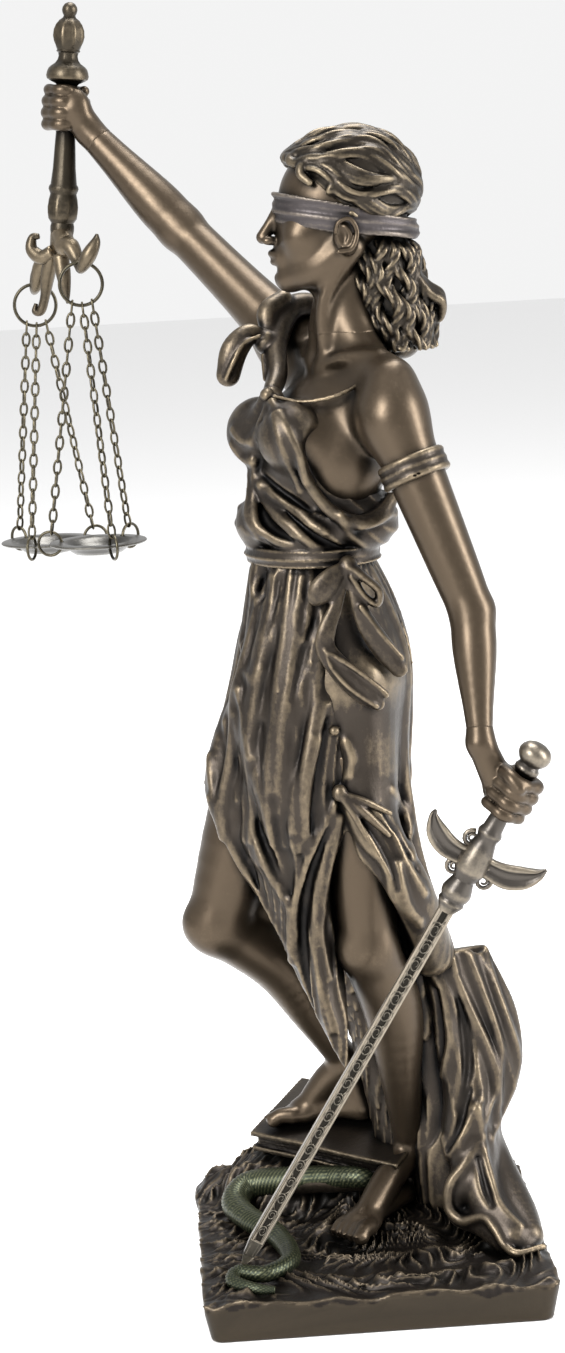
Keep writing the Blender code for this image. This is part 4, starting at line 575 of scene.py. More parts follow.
HANDLE_TOP, HANDLE_END = np.array((-57.3, 55.0, 326.0)), np.array((-63.6, 55.0, 265.0))
GRIP_RADIUS, HANDLE_GRIP = 2.3, 2.5


def off(centre, front=0.0, left=0.0, up=0.0):
    """A point given from another one along her own front, left and up."""
    return np.array(centre, float) + front * FRONT + left * LEFT + up * UP


def row(point, radius):
    return (*point, radius)


def along(a, b, t):
    return np.array(a) + (np.array(b) - np.array(a)) * t


def model_legs(clay):
    left_hip, right_hip = off(PELVIS, 0, 10, -3), off(PELVIS, 0, -11, -3)
    clay.tube([row(left_hip, 12.0), row(along(left_hip, LEFT_KNEE, 0.5), 9.8), row(LEFT_KNEE, 7.2)])
    calf = along(LEFT_KNEE, LEFT_ANKLE, 0.3) + (3.0, 1.5, 0)
    shin = along(LEFT_KNEE, LEFT_ANKLE, 0.65) + (1.4, 0, 0)
    clay.tube([row(LEFT_KNEE, 7.4), row(calf, 7.6), row(shin, 5.2), row(LEFT_ANKLE, 3.7)], 3.0)
    clay.tube([row(right_hip, 13.0), row(along(right_hip, RIGHT_KNEE, 0.5) - (1.6, 0, 0), 11.4), row(RIGHT_KNEE, 7.8)])
    calf = along(RIGHT_KNEE, RIGHT_ANKLE, 0.33) + (4.0, 1.5, 1.6)
    shin = along(RIGHT_KNEE, RIGHT_ANKLE, 0.68) + (1.5, 0.5, 0.8)
    clay.tube([row(RIGHT_KNEE, 7.6), row(calf, 7.4), row(shin, 5.0), row(RIGHT_ANKLE, 3.8)], 3.0)
    clay.lump((-20.5, 11.5, 97.5), (6.0, 5.0, 6.0), None, 4.0)
    for knee, way in ((LEFT_KNEE, (-0.9, -0.45, 0.1)), (RIGHT_KNEE, (-0.95, -0.2, 0.2))):
        clay.lump(np.array(knee) + 5.0 * unit(way), (3.2, 3.2, 4.0), None, 3.0)
    for ankle, toes in ((LEFT_ANKLE, LEFT_TOES), (RIGHT_ANKLE, RIGHT_TOES)):
        model_foot(clay, np.array(ankle), np.array(toes))


def model_foot(clay, ankle, toes):
    ahead = unit((toes - ankle) * (1, 1, 0))
    side = np.array((-ahead[1], ahead[0], 0))
    heel = ankle - 3.5 * ahead
    heel[2] = toes[2] + 3.2
    ball = toes - 6.0 * ahead + (0, 0, 1.2)
    clay.tube([row(ankle, 3.9), row(along(ankle, ball, 0.45) + (0, 0, 1.0), 4.0), row(ball, 3.2)], 2.5)
    clay.tube([row(ankle - (0, 0, 2), 3.8), row(heel, 3.9)], 2.0)
    clay.tube([row(heel - (0, 0, 0.4), 3.4), row(along(heel, ball, 0.5), 3.0), row(ball, 3.2)], 2.0)
    clay.lump(ball, (4.2, 5.4, 2.8), [ahead, side, UP], 2.0)
    for way in (-1, 1):
        clay.lump(ankle + way * 3.1 * side - (0, 0, 1.0), (1.9, 1.5, 2.0), None, 1.5)
    for place, size in ((-5.2, 1.3), (-2.9, 1.45), (-0.6, 1.5), (1.8, 1.6), (4.7, 2.1)):
        root = ball + place * side * 0.8 + 2.0 * ahead
        tip = toes + place * side + (0.25 * place) * ahead - (0, 0, 2.0 - size)
        knuckle = along(root, tip, 0.6) + (0, 0, 0.7)
        clay.tube([row(root, size + 0.3), row(knuckle, size), row(tip, size)], 0.3)
        nail = tip + 0.75 * size * ahead + (0, 0, 0.62 * size)
        clay.lump(nail, (0.75 * size, 0.62 * size, 0.3), [ahead - 0.5 * UP, side, 0.5 * ahead + UP], 0.1)


def model_torso(clay):
    clay.lump(PELVIS, (16.5, 23.0, 17.0), BODY_AXES, 6.0)
    clay.lump(along(PELVIS, WAIST, 0.6), (13.0, 18.0, 15.0), BODY_AXES, 8.0)
    clay.lump(WAIST, (12.5, 16.0, 14.0), BODY_AXES, 8.0)
    clay.lump(CHEST, (14.5, 20.5, 18.0), BODY_AXES, 8.0)
    clay.lump(off(SHOULDERS, -1.5, 0, -3), (10.5, 23.0, 9.0), BODY_AXES, 7.0)
    for side in (-1, 1):
        clay.lump(off(CHEST, 11.5, 8.3 * side, 6.0), (8.2, 7.8, 7.8), BODY_AXES, 4.0)
    clay.tube([row(off(NECK, -1, 0, -4), 9.0), row(off(NECK, 0, 0, 5), 7.6), (6.5, 1.0, 256.0, 7.2)], 5.0)
    for side in (-1, 1):
        tip = off(SHOULDERS, 0, 22 * side, 3)
        middle = along(NECK, tip, 0.5) + (0, 0, 3.5)
        clay.tube([(6.5, 1.0 - 2 * side, 246.0, 4.0), row(middle, 5.0), row(tip, 5.5)], 6.0)
        pit = off(NECK, 8.2, 1.6 * side, 1.5)
        clay.tube([row(pit, 1.0), row(off(pit, -1.5, 8 * side, 2.5), 1.1), row(off(pit, -7, 17 * side, 3.5), 1.0)], 2.5)
        clay.tube([row(off(pit, -1, 0.8 * side, 0), 1.2), (0.5, 1 - 7.6 * side, 250, 1.6), (9.0, 1 - 9.6 * side, 262, 1.6)], 3.0)


def model_arms(clay):
    clay.lump(LEFT_SHOULDER, (8.0, 8.0, 9.0), None, 6.0)
    clay.tube(
        [row(LEFT_SHOULDER, 7.6), row(along(LEFT_SHOULDER, LEFT_ELBOW, 0.35), 6.8),
         row(along(LEFT_SHOULDER, LEFT_ELBOW, 0.8), 5.9), row(LEFT_ELBOW, 5.3)], 4.0)
    clay.tube(
        [row(LEFT_ELBOW, 5.2), row(along(LEFT_ELBOW, LEFT_WRIST, 0.3), 5.3),
         row(along(LEFT_ELBOW, LEFT_WRIST, 0.75), 3.6), row(LEFT_WRIST, 3.0)], 2.0)
    clay.lump(RIGHT_SHOULDER, (9.0, 9.0, 9.0), None, 6.0)
    clay.tube(
        [row(RIGHT_SHOULDER, 8.3), row(along(RIGHT_SHOULDER, RIGHT_ELBOW, 0.4), 6.6),
         row(along(RIGHT_SHOULDER, RIGHT_ELBOW, 0.85), 5.8), row(RIGHT_ELBOW, 5.9)], 4.0)
    clay.tube(
        [row(RIGHT_ELBOW, 5.9), row(along(RIGHT_ELBOW, RIGHT_WRIST, 0.25), 6.1),
         row(along(RIGHT_ELBOW, RIGHT_WRIST, 0.7), 4.5), row(RIGHT_WRIST, 3.7)], 2.0)


def model_head(clay):
    x, y, z = SKULL
    clay.lump(SKULL, (16.0, 12.4, 14.6), None, 3.0)
    clay.lump((x - 7.5, y, z - 9.5), (9.6, 9.6, 12.0), None, 4.0)
    for side in (-1, 1):
        clay.tube([(x - 1, y + 9.3 * side, z - 11, 3.2), (x - 8, y + 6.6 * side, z - 16.5, 3.0),
                   (x - 14, y + 1.5 * side, z - 18.2, 2.6)], 3.0)
        clay.lump((x - 11.0, y + 6.4 * side, z - 8.0), (4.2, 3.4, 3.8), None, 3.0)
    clay.lump((x - 14.4, y, z - 17.8), (3.0, 3.6, 3.0), None, 2.5)
    clay.tube([(x - 16.0, y, z - 1.0, 1.2), (x - 18.3, y, z - 5.0, 1.4), (x - 20.2, y, z - 8.0, 1.65)], 1.8)
    for side in (-1, 1):
        clay.lump((x - 18.6, y + 1.8 * side, z - 8.9), (1.9, 1.1, 1.1), None, 0.8)
        clay.lump((x - 19.2, y + 1.1 * side, z - 10.2), (0.7, 0.45, 0.5), None, 0.3, cut=True)
    clay.lump((x - 15.6, y, z - 13.0), (2.4, 4.0, 3.2), None, 2.0)
    clay.tube([(x - 16.9, y - 3.2, z - 12.6, 0.5), (x - 18.2, y - 1.2, z - 12.0, 0.85), (x - 18.3, y, z - 12.2, 0.8),
               (x - 18.2, y + 1.2, z - 12.0, 0.85), (x - 16.9, y + 3.2, z - 12.6, 0.5)], 0.8)
    clay.tube([(x - 16.8, y - 2.8, z - 13.6, 0.5), (x - 17.7, y, z - 14.2, 1.05), (x - 16.8, y + 2.8, z - 13.6, 0.5)], 0.8)
    clay.tube([(x - 17.9, y - 3.6, z - 13.0, 0.3), (x - 19.5, y, z - 13.1, 0.35), (x - 17.9, y + 3.6, z - 13.0, 0.3)],
              0.3, cut=True)
    clay.lump((x - 18.0, y, z - 16.0), (1.2, 2.4, 0.8), None, 1.2, cut=True)


EAR_AXES = [(1, 0, 0.25), (0, 1, 0), (-0.25, 0, 1)]


def model_ears(clay):
    for side, y in ((-1, -12.6), (1, 14.6)):
        clay.lump((6.0, y - 0.8 * side, 264.8), (2.7, 2.1, 4.4), EAR_AXES, 0.8)
        clay.lump((5.4, y + 1.5 * side, 265.4), (1.4, 1.1, 2.6), EAR_AXES, 0.4, cut=True)
        rim = [(4.2, y + 1.2 * side, 261.6, 0.7), (7.4, y + 1.2 * side, 262.2, 0.7), (8.8, y + 1.0 * side, 266, 0.65),
               (7.2, y + 1.1 * side, 269.2, 0.6), (4.4, y + 1.0 * side, 268.4, 0.55), (3.6, y + 0.8 * side, 266, 0.4)]
        clay.tube(rim, 0.4)
        clay.tube([(6.4, y + 0.7 * side, 263.6, 0.5), (7.2, y + 0.8 * side, 265.6, 0.45), (6.0, y + 0.7 * side, 267.6, 0.4)], 0.4)


def model_hand(clay, fist, wrist, grip, hold, thumb_side=1):
    """A closed hand round a grip, whose radius is hold. fist is the middle of the grip in the hand."""
    fist, wrist, grip = np.array(fist), np.array(wrist), unit(grip)
    arm = fist - wrist
    arm = unit(arm - grip * (arm @ grip))
    palm = np.cross(grip, arm) * thumb_side
    clay.tube([row(wrist, 3.3), row(fist - 3.4 * arm - 1.5 * palm, 3.9)], 2.0)
    clay.lump(fist - 2.0 * arm - 2.4 * palm, (5.2, 3.0, 5.6), [arm, palm, grip], 1.5)
    for k, thick in enumerate((1.6, 1.7, 1.65, 1.45)):
        place = fist + grip * (k - 1.5) * 2.9
        reach = hold + 0.3 + thick
        rows = []
        for turn in range(-120, 171, 15):
            t = math.radians(turn)
            bend = 1.0 + 0.07 * math.cos(math.radians(4 * turn + 40))
            swell = thick * (1 + 0.07 * math.cos(math.radians(4 * turn + 40)) - 0.10 * max(0, turn) / 170)
            rows.append(row(place + reach * bend * (math.cos(t) * arm + math.sin(t) * palm), swell))
        clay.tube(rows, 0.3, 2)
    clay.tube([row(fist - 4.4 * arm - 0.5 * palm - 3.4 * grip, 2.2), row(fist - 3.4 * arm + 2.4 * palm - 4.4 * grip, 1.8),
               row(fist - 1.6 * arm + 4.4 * palm - 4.4 * grip, 1.75), row(fist + 1.2 * arm + 5.4 * palm - 3.4 * grip, 1.5)], 0.7)


WRIST_CUT = 0.12
left_cut, right_cut = along(LEFT_WRIST, LEFT_ELBOW, WRIST_CUT), along(RIGHT_WRIST, RIGHT_ELBOW, WRIST_CUT)
left_way, right_way = np.subtract(LEFT_WRIST, LEFT_ELBOW), np.subtract(RIGHT_WRIST, RIGHT_ELBOW)

legs = Clay((-50, -26, 8), (26, 46, 144), 0.5 * ROUGH)
model_legs(legs)
legs.trim((0, 0, 140), UP)
cast("legs", legs, 50000, SKIN, 6)

trunk = Clay((-76, -58, 140), (48, 70, 314), 0.6 * ROUGH)
model_torso(trunk)
trunk.trim((0, 0, 190), -UP)
trunk.value += (0.25 * np.clip((trunk.grid()[2] - 241.5) / 3, 0, 1)).astype(np.float32)
trunk.trim((0, 0, 246), UP)
model_arms(trunk)
for cut, way in ((left_cut, unit(left_way)), (right_cut, unit(right_way))):
    beyond = sum((axis - place) * share for axis, place, share in zip(trunk.grid(), cut, way))
    trunk.value += (0.3 * np.clip(beyond / 2, 0, 1)).astype(np.float32)
    trunk.trim(cut + 3 * way, way)
cast("trunk_and_arms", trunk, 70000, SKIN, 5)

head = Clay((-20, -18, 240), (28, 20, 292), 0.36 * ROUGH)
model_torso(head)
head.trim((0, 0, 241.5), -UP, 0.05)
model_head(head)
model_ears(head)
cast("head", head, 50000, SKIN, 3)

for name, fist, wrist, elbow, grip, hold, thumb in (
    ("left_hand", LEFT_FIST, LEFT_WRIST, LEFT_ELBOW, -SWORD_AXIS, GRIP_RADIUS, 1),
    ("right_hand", RIGHT_FIST, RIGHT_WRIST, RIGHT_ELBOW, HANDLE_TOP - HANDLE_END, HANDLE_GRIP, -1),
):
    hand = Clay(np.array(fist) - 19, np.array(fist) + 19, 0.34 * ROUGH)
    model_arms(hand)
    hand.trim(along(wrist, elbow, WRIST_CUT), np.subtract(elbow, wrist), 0.05)
    model_hand(hand, fist, wrist, grip, hold, thumb)
    cast(name, hand, 30000, SKIN)

# The gown below the belt, part of the casting: a front part that ends in a point between her legs, a
# back part open from the jewel down over her left leg, and a train that stands open at its top edge.
CLOTH = bronze("gown bronze", (0.0035, 0.003, 0.0028), (0.032, 0.0255, 0.020), (0.17, 0.132, 0.086), 0.36, 0.45)
SLIT = (
    (-1.0, -18.0, 121.5, 0.2), (-1.6, -18.0, 112.0, 3.4), (0.6, -17.0, 103.0, 7.0), (3.6, -17.0, 92.0, 9.0),
    (7.0, -16.0, 78.0, 10.6), (8.5, -15.0, 60.0, 12.5), (8.0, -15.0, 40.0, 15.0),
)


def model_gown_front(clay):
    clay.tube([(-5.8, 0, 186, 14.6), (-4.8, 0, 172, 18.0), (-5.0, 0, 156, 19.8), (-7.5, -1, 138, 19.2),
               (-9.5, -3, 120, 16.4), (-11.5, -5, 105, 11.5), (-11.0, -8, 92, 7.4), (-8.5, -10, 80, 5.4),
               (-6.0, -12, 69, 3.6), (-4.2, -13, 60, 1.4)], 4.0)
    clay.tube([(-8.4, 7, 160, 16.6), (-14.8, 8.5, 142, 14.9), (-23.3, 8.5, 124, 13.2), (-29.5, 7, 110, 11.5), (-34.5, 6, 95, 10)], 4.0)
    x, y, z = clay.grid()
    turn = np.arctan2(y, -4.0 - x)
    clay.pleat(turn * 7.5 + 0.7 * np.sin(0.07 * z + 2 * turn) + 0.25 * np.sin(0.23 * z + 5 * turn), 0.5)
    for wide, *places in (
        (5.0, (310, 640), (297, 690), (288, 740), (286, 790), (292, 840)),
        (4.0, (268, 640), (252, 700), (262, 760), (276, 830)),
        (4.0, (240, 690), (232, 745), (240, 800), (262, 860)),
        (3.5, (222, 740), (218, 780), (232, 830), (258, 885)),
        (3.5, (322, 700), (306, 770), (302, 830)),
    ):
        clay.fold(wide, wide, *places, blend=3.5, sink=0.8)
    clay.fold(1.6, 2.2, (258, 690), (264, 740), (268, 780), (277, 830), (292, 895), blend=1.6, sink=-0.2, cut=True)
    clay.fold(1.2, 1.5, (236, 730), (246, 775), (252, 815), (266, 850), (280, 880), blend=1.8, sink=-0.3, cut=True)
    clay.fold(1.2, 1.2, (292, 610), (277, 665), (268, 700), (268, 740), blend=1.6, sink=-0.3, cut=True)
    clay.fold(1.3, 1.0, (312, 620), (301, 660), (290, 700), blend=1.6, sink=-0.3, cut=True)
    clay.fold(1.2, 1.3, (318, 690), (306, 730), (300, 780), (300, 840), blend=1.6, sink=-0.3, cut=True)
    clay.fold(1.0, 1.3, (328, 720), (318, 770), (312, 820), (304, 860), blend=1.6, sink=-0.3, cut=True)
    clay.lump((-19.2, -9.5, 182.0), (3.4, 4.2, 5.0), None, 1.0, cut=True)
    clay.crest(0.9, (254, 566), (252, 585), (259, 601), (267, 592), (280, 570))
    clay.crest(1.3, (281, 605), (261, 675), (258, 690), (262, 720), (267, 755), (276, 810))
    clay.crest(0.9, (239, 600), (245, 665), (254, 680), (260, 670))
    clay.crest(0.9, (238, 690), (250, 757))
    clay.crest(1.0, (236, 715), (243, 772), (246, 800), (255, 835), (262, 860), (275, 885), (290, 908))
    clay.crest(0.9, (225, 722), (234, 765), (238, 800))
    clay.crest(0.9, (209, 756), (212, 790), (225, 830), (247, 885))
    clay.crest(1.2, (292, 567), (284, 640), (272, 680), (264, 715))
    clay.crest(1.0, (303, 567), (300, 600), (281, 665), (267, 735), (272, 790))
    clay.crest(1.1, (325, 705), (306, 765), (297, 790), (293, 830))
    clay.crest(1.0, (318, 740), (306, 790), (300, 850))
    clay.crest(1.0, (312, 567), (311, 600), (303, 640))
    clay.trim((-34.5, 0, 125), (-36.0, 3, -16.6))
    clay.trim((0, 0, 188), UP)
    clay.crest(1.0, (204, 790), (208, 812), (220, 840), (230, 860), (247, 893), (262, 920), (285, 950))
    clay.crest(0.8, (209, 798), (214, 820), (228, 848), (250, 888), (268, 918), (288, 944))
    clay.crest(1.3, (335, 805), (322, 835), (308, 860), (292, 912), (291, 940), (294, 975), (305, 1016), (326, 1047))
    clay.crest(1.1, (340, 815), (322, 865), (314, 930), (320, 985), (333, 1030))
    clay.fold(1.1, 1.2, (328, 830), (309, 880), (303, 930), (306, 980), (318, 1024), blend=1.0, cut=True)
    clay.crest(0.9, (341, 818), (335, 850), (327, 880), (322, 915), (322, 945), (330, 978))
    for side in (-40, -55, 270):
        for k in range(3):
            clay.fold(1.0, 1.4, (-6 + 7 * k, 184), (-8 + 8 * k, 165), (-12 + 9 * k, 140), (-14 + 9 * k, 118), side=side)
    clay.tube(SLIT, 0.5, flat=((0, 1, 0), 0.5), cut=True)


def model_gown_back(clay):
    left_hip = off(PELVIS, 0, 10, -3)
    clay.lump(PELVIS, (16.2, 22.6, 17.5), BODY_AXES, 6.0)
    clay.lump(along(PELVIS, WAIST, 0.6), (13.4, 18.4, 15.0), BODY_AXES, 8.0)
    clay.tube([row(left_hip, 11.6), row(along(left_hip, LEFT_KNEE, 0.3), 10.9), row(along(left_hip, LEFT_KNEE, 0.6), 9.4)])
    clay.tube([(-3.6, 2, 178, 14.8), (1.4, 2, 160, 16.3), (1.8, 4, 140, 14.6), (0.6, 6, 120, 13.8),
               (5.0, 8, 102, 13.0), (11, 11, 86, 12), (16, 12, 66, 11), (20, 12, 46, 10), (22, 12, 28, 12),
               (23, 10, 18, 11)], 5.0)
    clay.tube([(0, -13, 132, 6.5), (4, -14, 122, 6.5), (8.5, -13.5, 112, 6.8), (12.5, -12, 103, 7.0),
               (16, -8, 94, 6.5), (19, -2, 84, 6.0)], 3.0)
    clay.tube([(-3, 9, 106, 8.0), (0, 10, 86, 7.5), (4, 12, 66, 7.0), (8, 14, 46, 7.0), (11, 14, 28, 7.0)], 3.0)
    x, y, z = clay.grid()
    turn = np.arctan2(y - 2, x - 2)
    clay.pleat(turn * 8 + 0.5 * np.sin(0.08 * z + 2 * turn), 0.6 * np.clip((y + 9) / 8, 0.08, 1))
    for side, lean in ((200, -14), (180, -20), (160, -12), (140, -8), (120, -4), (222, 14), (100, 4)):
        for k in range(3):
            start = -8 + 8 * k
            clay.fold(1.0, 1.6, (start, 184), (start + 0.1 * lean, 160), (start + 0.3 * lean, 135),
                      (start + 0.7 * lean, 105), (start + 1.1 * lean, 75), (start + 1.5 * lean, 45),
                      (start + 1.7 * lean, 22), side=side, blend=2.2)
            clay.fold(0.8, 1.3, (start + 4, 176), (start + 4 + 0.3 * lean, 135), (start + 4 + 0.8 * lean, 100),
                      (start + 4 + 1.3 * lean, 60), (start + 4 + 1.7 * lean, 25), side=side, blend=1.8, sink=-0.3, cut=True)
    clay.crest(1.3, (346, 800), (353, 822), (366, 845), (380, 858), (390, 875), (393, 915), (404, 935))
    clay.crest(1.0, (375, 812), (388, 820), (397, 840), (408, 866), (425, 893))
    clay.crest(1.0, (352, 812), (372, 838), (384, 852), (396, 878), (400, 905), (420, 925))
    clay.crest(1.1, (398, 865), (407, 905), (420, 920))
    clay.fold(1.0, 1.2, (362, 818), (382, 846), (392, 866), (398, 890), blend=0.8, cut=True)
    clay.fold(1.0, 1.2, (380, 808), (396, 828), (406, 850), (418, 870), blend=0.8, cut=True)
    clay.fold(1.0, 1.0, (336, 738), (338, 765), (340, 786), blend=0.8, cut=True)
    clay.crest(0.9, (346, 742), (352, 757), (350, 775))
    clay.crest(1.0, (392, 790), (402, 808), (410, 830), (411, 860))
    clay.tube(SLIT, 0.5, flat=((0, 1, 0), 0.5), cut=True)


TRAIN_TOP = 84.5
TRAIN_ROLL = (
    (29.5, -8.5, 36.5, 0.9), (24.5, -11.0, 30.5, 1.3), (20.6, -11.5, 25.5, 1.5), (20.0, -12.0, 19.5, 1.5),
    (23.0, -14.5, 16.8, 1.4), (28.0, -18.2, 18.8, 1.3), (30.5, -21.5, 16.6, 1.2), (32.5, -24.0, 13.3, 1.2),
    (35.5, -27.0, 12.0, 1.1), (42.0, -25.0, 12.6, 0.9),
)


def model_train(clay):
    clay.tube([(22.5, 6, 86, 7.2), (29, 8, 73, 8.3), (33.6, 8, 60, 8.5), (32.5, 6, 48, 8.0), (27.6, 3, 38, 7.0),
               (27, -2, 30, 6.0)], 3.0)
    clay.tube([(20, 4, 86, 6.0), (25, 3, 67, 6.5), (27, 0, 48, 6.5), (26, -4, 34, 6.0)], 3.0)
    x, y, z = clay.grid()
    clay.pleat((x + 0.25 * z) * 0.24 + 0.3 * np.sin(0.09 * z + 0.1 * y), 0.4)
    clay.crest(1.1, (420, 985), (428, 1010), (431, 1040), (433, 1080), (437, 1110), (448, 1158))
    clay.crest(1.1, (425, 965), (440, 985), (446, 1010), (450, 1040), (444, 1070), (437, 1095))
    clay.crest(1.1, (470, 955), (490, 1010), (500, 1045), (498, 1080), (485, 1120))
    clay.crest(0.9, (484, 950), (496, 985), (508, 1020), (517, 1050), (516, 1075), (505, 1108), (492, 1138))
    clay.crest(1.0, (480, 1100), (465, 1130), (452, 1155))
    clay.fold(1.4, 1.2, (436, 990), (440, 1020), (441, 1050), (437, 1080), blend=1.0, cut=True)
    clay.fold(1.6, 1.2, (456, 975), (466, 1030), (468, 1070), (460, 1110), blend=1.6, cut=True)
    clay.fold(1.2, 1.0, (470, 1090), (458, 1130), (447, 1150), blend=1.0, cut=True)
    for side in (90, 120, 150, 180):
        for k in range(3):
            clay.fold(1.2, 1.2, (-10 + 8 * k, 82), (-9 + 7 * k, 60), (-8 + 6 * k, 40), (-10 + 8 * k, 20), side=side)
    clay.trim((34, 0, TRAIN_TOP), (-0.1, 0.25, 1), 0.4)
    clay.lump((26.5, 5, TRAIN_TOP + 3.5), (9.5, 4.2, 8.5), None, 1.0, cut=True)
    clay.crest(0.8, (421, 949), (435, 945), (452, 944), (470, 943), (484, 942))
    clay.tube([(28.6, 4, 34, 6.5), (31.5, 0, 24, 7.2), (36, -10, 16, 6.5), (39, -19, 13.5, 4.0)], 3.0)
    clay.tube([(28, -2, 33, 5), (28, -9, 26, 5), (30, -14, 20, 4.5), (35, -21, 14.5, 3.5)], 2.0)
    clay.tube([(27, -7, 34, 3.0), (24.5, -9, 29, 3.0), (23.0, -9.5, 24, 3.0), (22.5, -9.5, 17, 3.0), (28, -15, 15.5, 3.0),
               (33, -20, 12.5, 3.0), (38, -23, 11.0, 2.6)], 2.0)
    clay.tube(TRAIN_ROLL, 0.8)
    clay.crest(0.9, (484, 1150), (492, 1180), (500, 1205), (520, 1225))
    clay.fold(1.0, 1.0, (478, 1158), (486, 1190), (492, 1205), blend=1.0, cut=True)


gown_front = Clay((-50, -34, 56), (24, 32, 194), 0.5 * ROUGH)
model_gown_front(gown_front)
cast("gown_front", gown_front, 110000, CLOTH, 3)
gown_back = Clay((-30, -28, 10), (42, 34, 194), 0.55 * ROUGH)
model_gown_back(gown_back)
cast("gown_back", gown_back, 90000, CLOTH, 4)
train = Clay((6, -36, 7), (52, 26, 96), 0.5 * ROUGH)
model_train(train)
cast("train", train, 50000, CLOTH, 3)

# The blouse, from the knot on her chest to the belt, part of the casting. It leaves the left side of
# her chest bare, and its folds run down from the knot and round to the bow.


def ring_rows(centre, front, side, radius, count):
    """Rows of a closed loop round a centre, longer along her left than along her front."""
    turns = 2 * math.pi * np.arange(count + 1) / count
    return [row(off(centre, front * math.cos(t), side * math.sin(t)), radius) for t in turns]


DRESS_EDGE = (
    (-13.5, -12.0, 226.5, 1.2), (-11.5, -18.4, 221.7, 1.3), (-8.6, -20.0, 216.6, 1.3), (-6.8, -19.6, 209.0, 1.4),
    (-3.6, -19.4, 203.0, 1.5), (0.8, -19.6, 198.8, 1.7), (6.0, -18.6, 197.0, 1.8), (11.0, -15.5, 198.5, 1.8),
    (15.0, -10.0, 202.5, 1.6), (17.0, -3.0, 206.5, 1.4),
)


def model_blouse(clay):
    clay.lump((-3.0, 0, 207), (15.0, 18.4, 14.0), BODY_AXES, 4.0)
    clay.lump((-4.5, 0, 195), (16.2, 20.0, 9.5), BODY_AXES, 4.0)
    clay.lump(off((-2.5, 0, 195), -5, 12, 1), (9, 8, 7.0), BODY_AXES, 3.0)
    for side in (-1, 1):
        clay.lump(off(CHEST, 12.3, 8.3 * side, 6.0), (8.6, 8.6, 8.8), BODY_AXES, 4.0)
    clay.lump((-18.4, -0.5, 196), (5.4, 8, 6.5), None, 3.0)
    clay.tube([(-13.5, -7, 227, 3.0), (-15.5, -4, 219, 5.0)], 3.0)
    x, y, z = clay.grid()
    lower = np.clip((209 - z + 0.5 * x) / 8, 0.1, 1)
    clay.pleat((0.9 * z + 0.55 * x) * 0.25 + 0.35 * np.sin(0.17 * x - 0.1 * z) + 0.2 * np.sin(0.4 * y + 0.1 * z), 0.45 * lower)
    clay.lump((5.5, -22.5, 212.5), (13.5, 8.0, 13.8), None, 0.8, cut=True)
    clay.tube(DRESS_EDGE, 0.9)
    clay.fold(1.6, 1.8, (257, 488), (262, 514), (274, 530), (292, 540), blend=0.9, cut=True)
    clay.fold(1.2, 1.5, (264, 476), (280, 492), (296, 504), (310, 512), blend=0.9, cut=True)
    clay.fold(1.0, 1.2, (284, 508), (300, 524), (320, 540), (345, 549), blend=0.8, cut=True)
    clay.fold(1.0, 1.0, (262, 420), (253, 440), (249, 470), blend=0.8, cut=True)
    clay.crest(1.1, (268, 405), (258, 430), (252, 455), (248, 490), (248, 518), (258, 535))
    clay.crest(1.1, (254, 458), (254, 515), (262, 532), (285, 545), (315, 552), (350, 554), (380, 551))
    clay.crest(1.1, (258, 478), (270, 493), (290, 505), (303, 516), (325, 532))
    clay.crest(1.0, (260, 486), (268, 505), (282, 520), (302, 537), (318, 552))
    clay.crest(0.9, (342, 516), (347, 530), (357, 541), (374, 549))
    clay.crest(0.8, (362, 527), (378, 522), (394, 512))
    clay.crest(0.9, (280, 412), (288, 432), (300, 456), (306, 482))
    clay.crest(0.8, (274, 415), (280, 440), (290, 465), (300, 490))
    clay.crest(0.8, (233, 430), (240, 440), (250, 442))
    clay.crest(0.8, (232, 445), (242, 458), (252, 462))
    for side in (180, 205, 230, 155):
        for k in range(4):
            clay.fold(1.0, 1.0, (-14, 196 + 6 * k), (-5, 193 + 6 * k), (5, 192 + 5 * k), (14, 196 + 4 * k), side=side)
    clay.tube(ring_rows((-5.2, 0, 188.4), 14.8, 18.2, 1.1, 32), 0.4, 2, flat=(UP, 0.5))
    for up, lean in ((190.2, 0.3), (188.2, -0.4), (186.5, 0.2)):
        clay.tube(ring_rows((-5.2 + lean, 0, up), 15.6, 19.0, 0.4, 32), 0.3, 2)


blouse = Clay((-28, -30, 178), (24, 26, 236), 0.45 * ROUGH)
model_blouse(blouse)
cast("blouse", blouse, 72000, CLOTH)

# Bow, jewel and straps, part of the casting: the bow on the belt with its two tails, the jewel that
# gathers the cloth above the slit, the knot and cord on her chest, the shoulder bow and the armlet.
BOW_KNOT = (2.2, -19.5, 186.5)


def ring_along(a, b, share, radius, thick, count=28):
    """Rows of a ring round the line from a to b, at a share of its length."""
    way = unit(np.subtract(b, a))
    side = unit(np.cross(way, UP))
    other = np.cross(way, side)
    turns = 2 * math.pi * np.arange(count + 1) / count
    return [row(along(a, b, share) + radius * (math.cos(t) * side + math.sin(t) * other), thick) for t in turns]


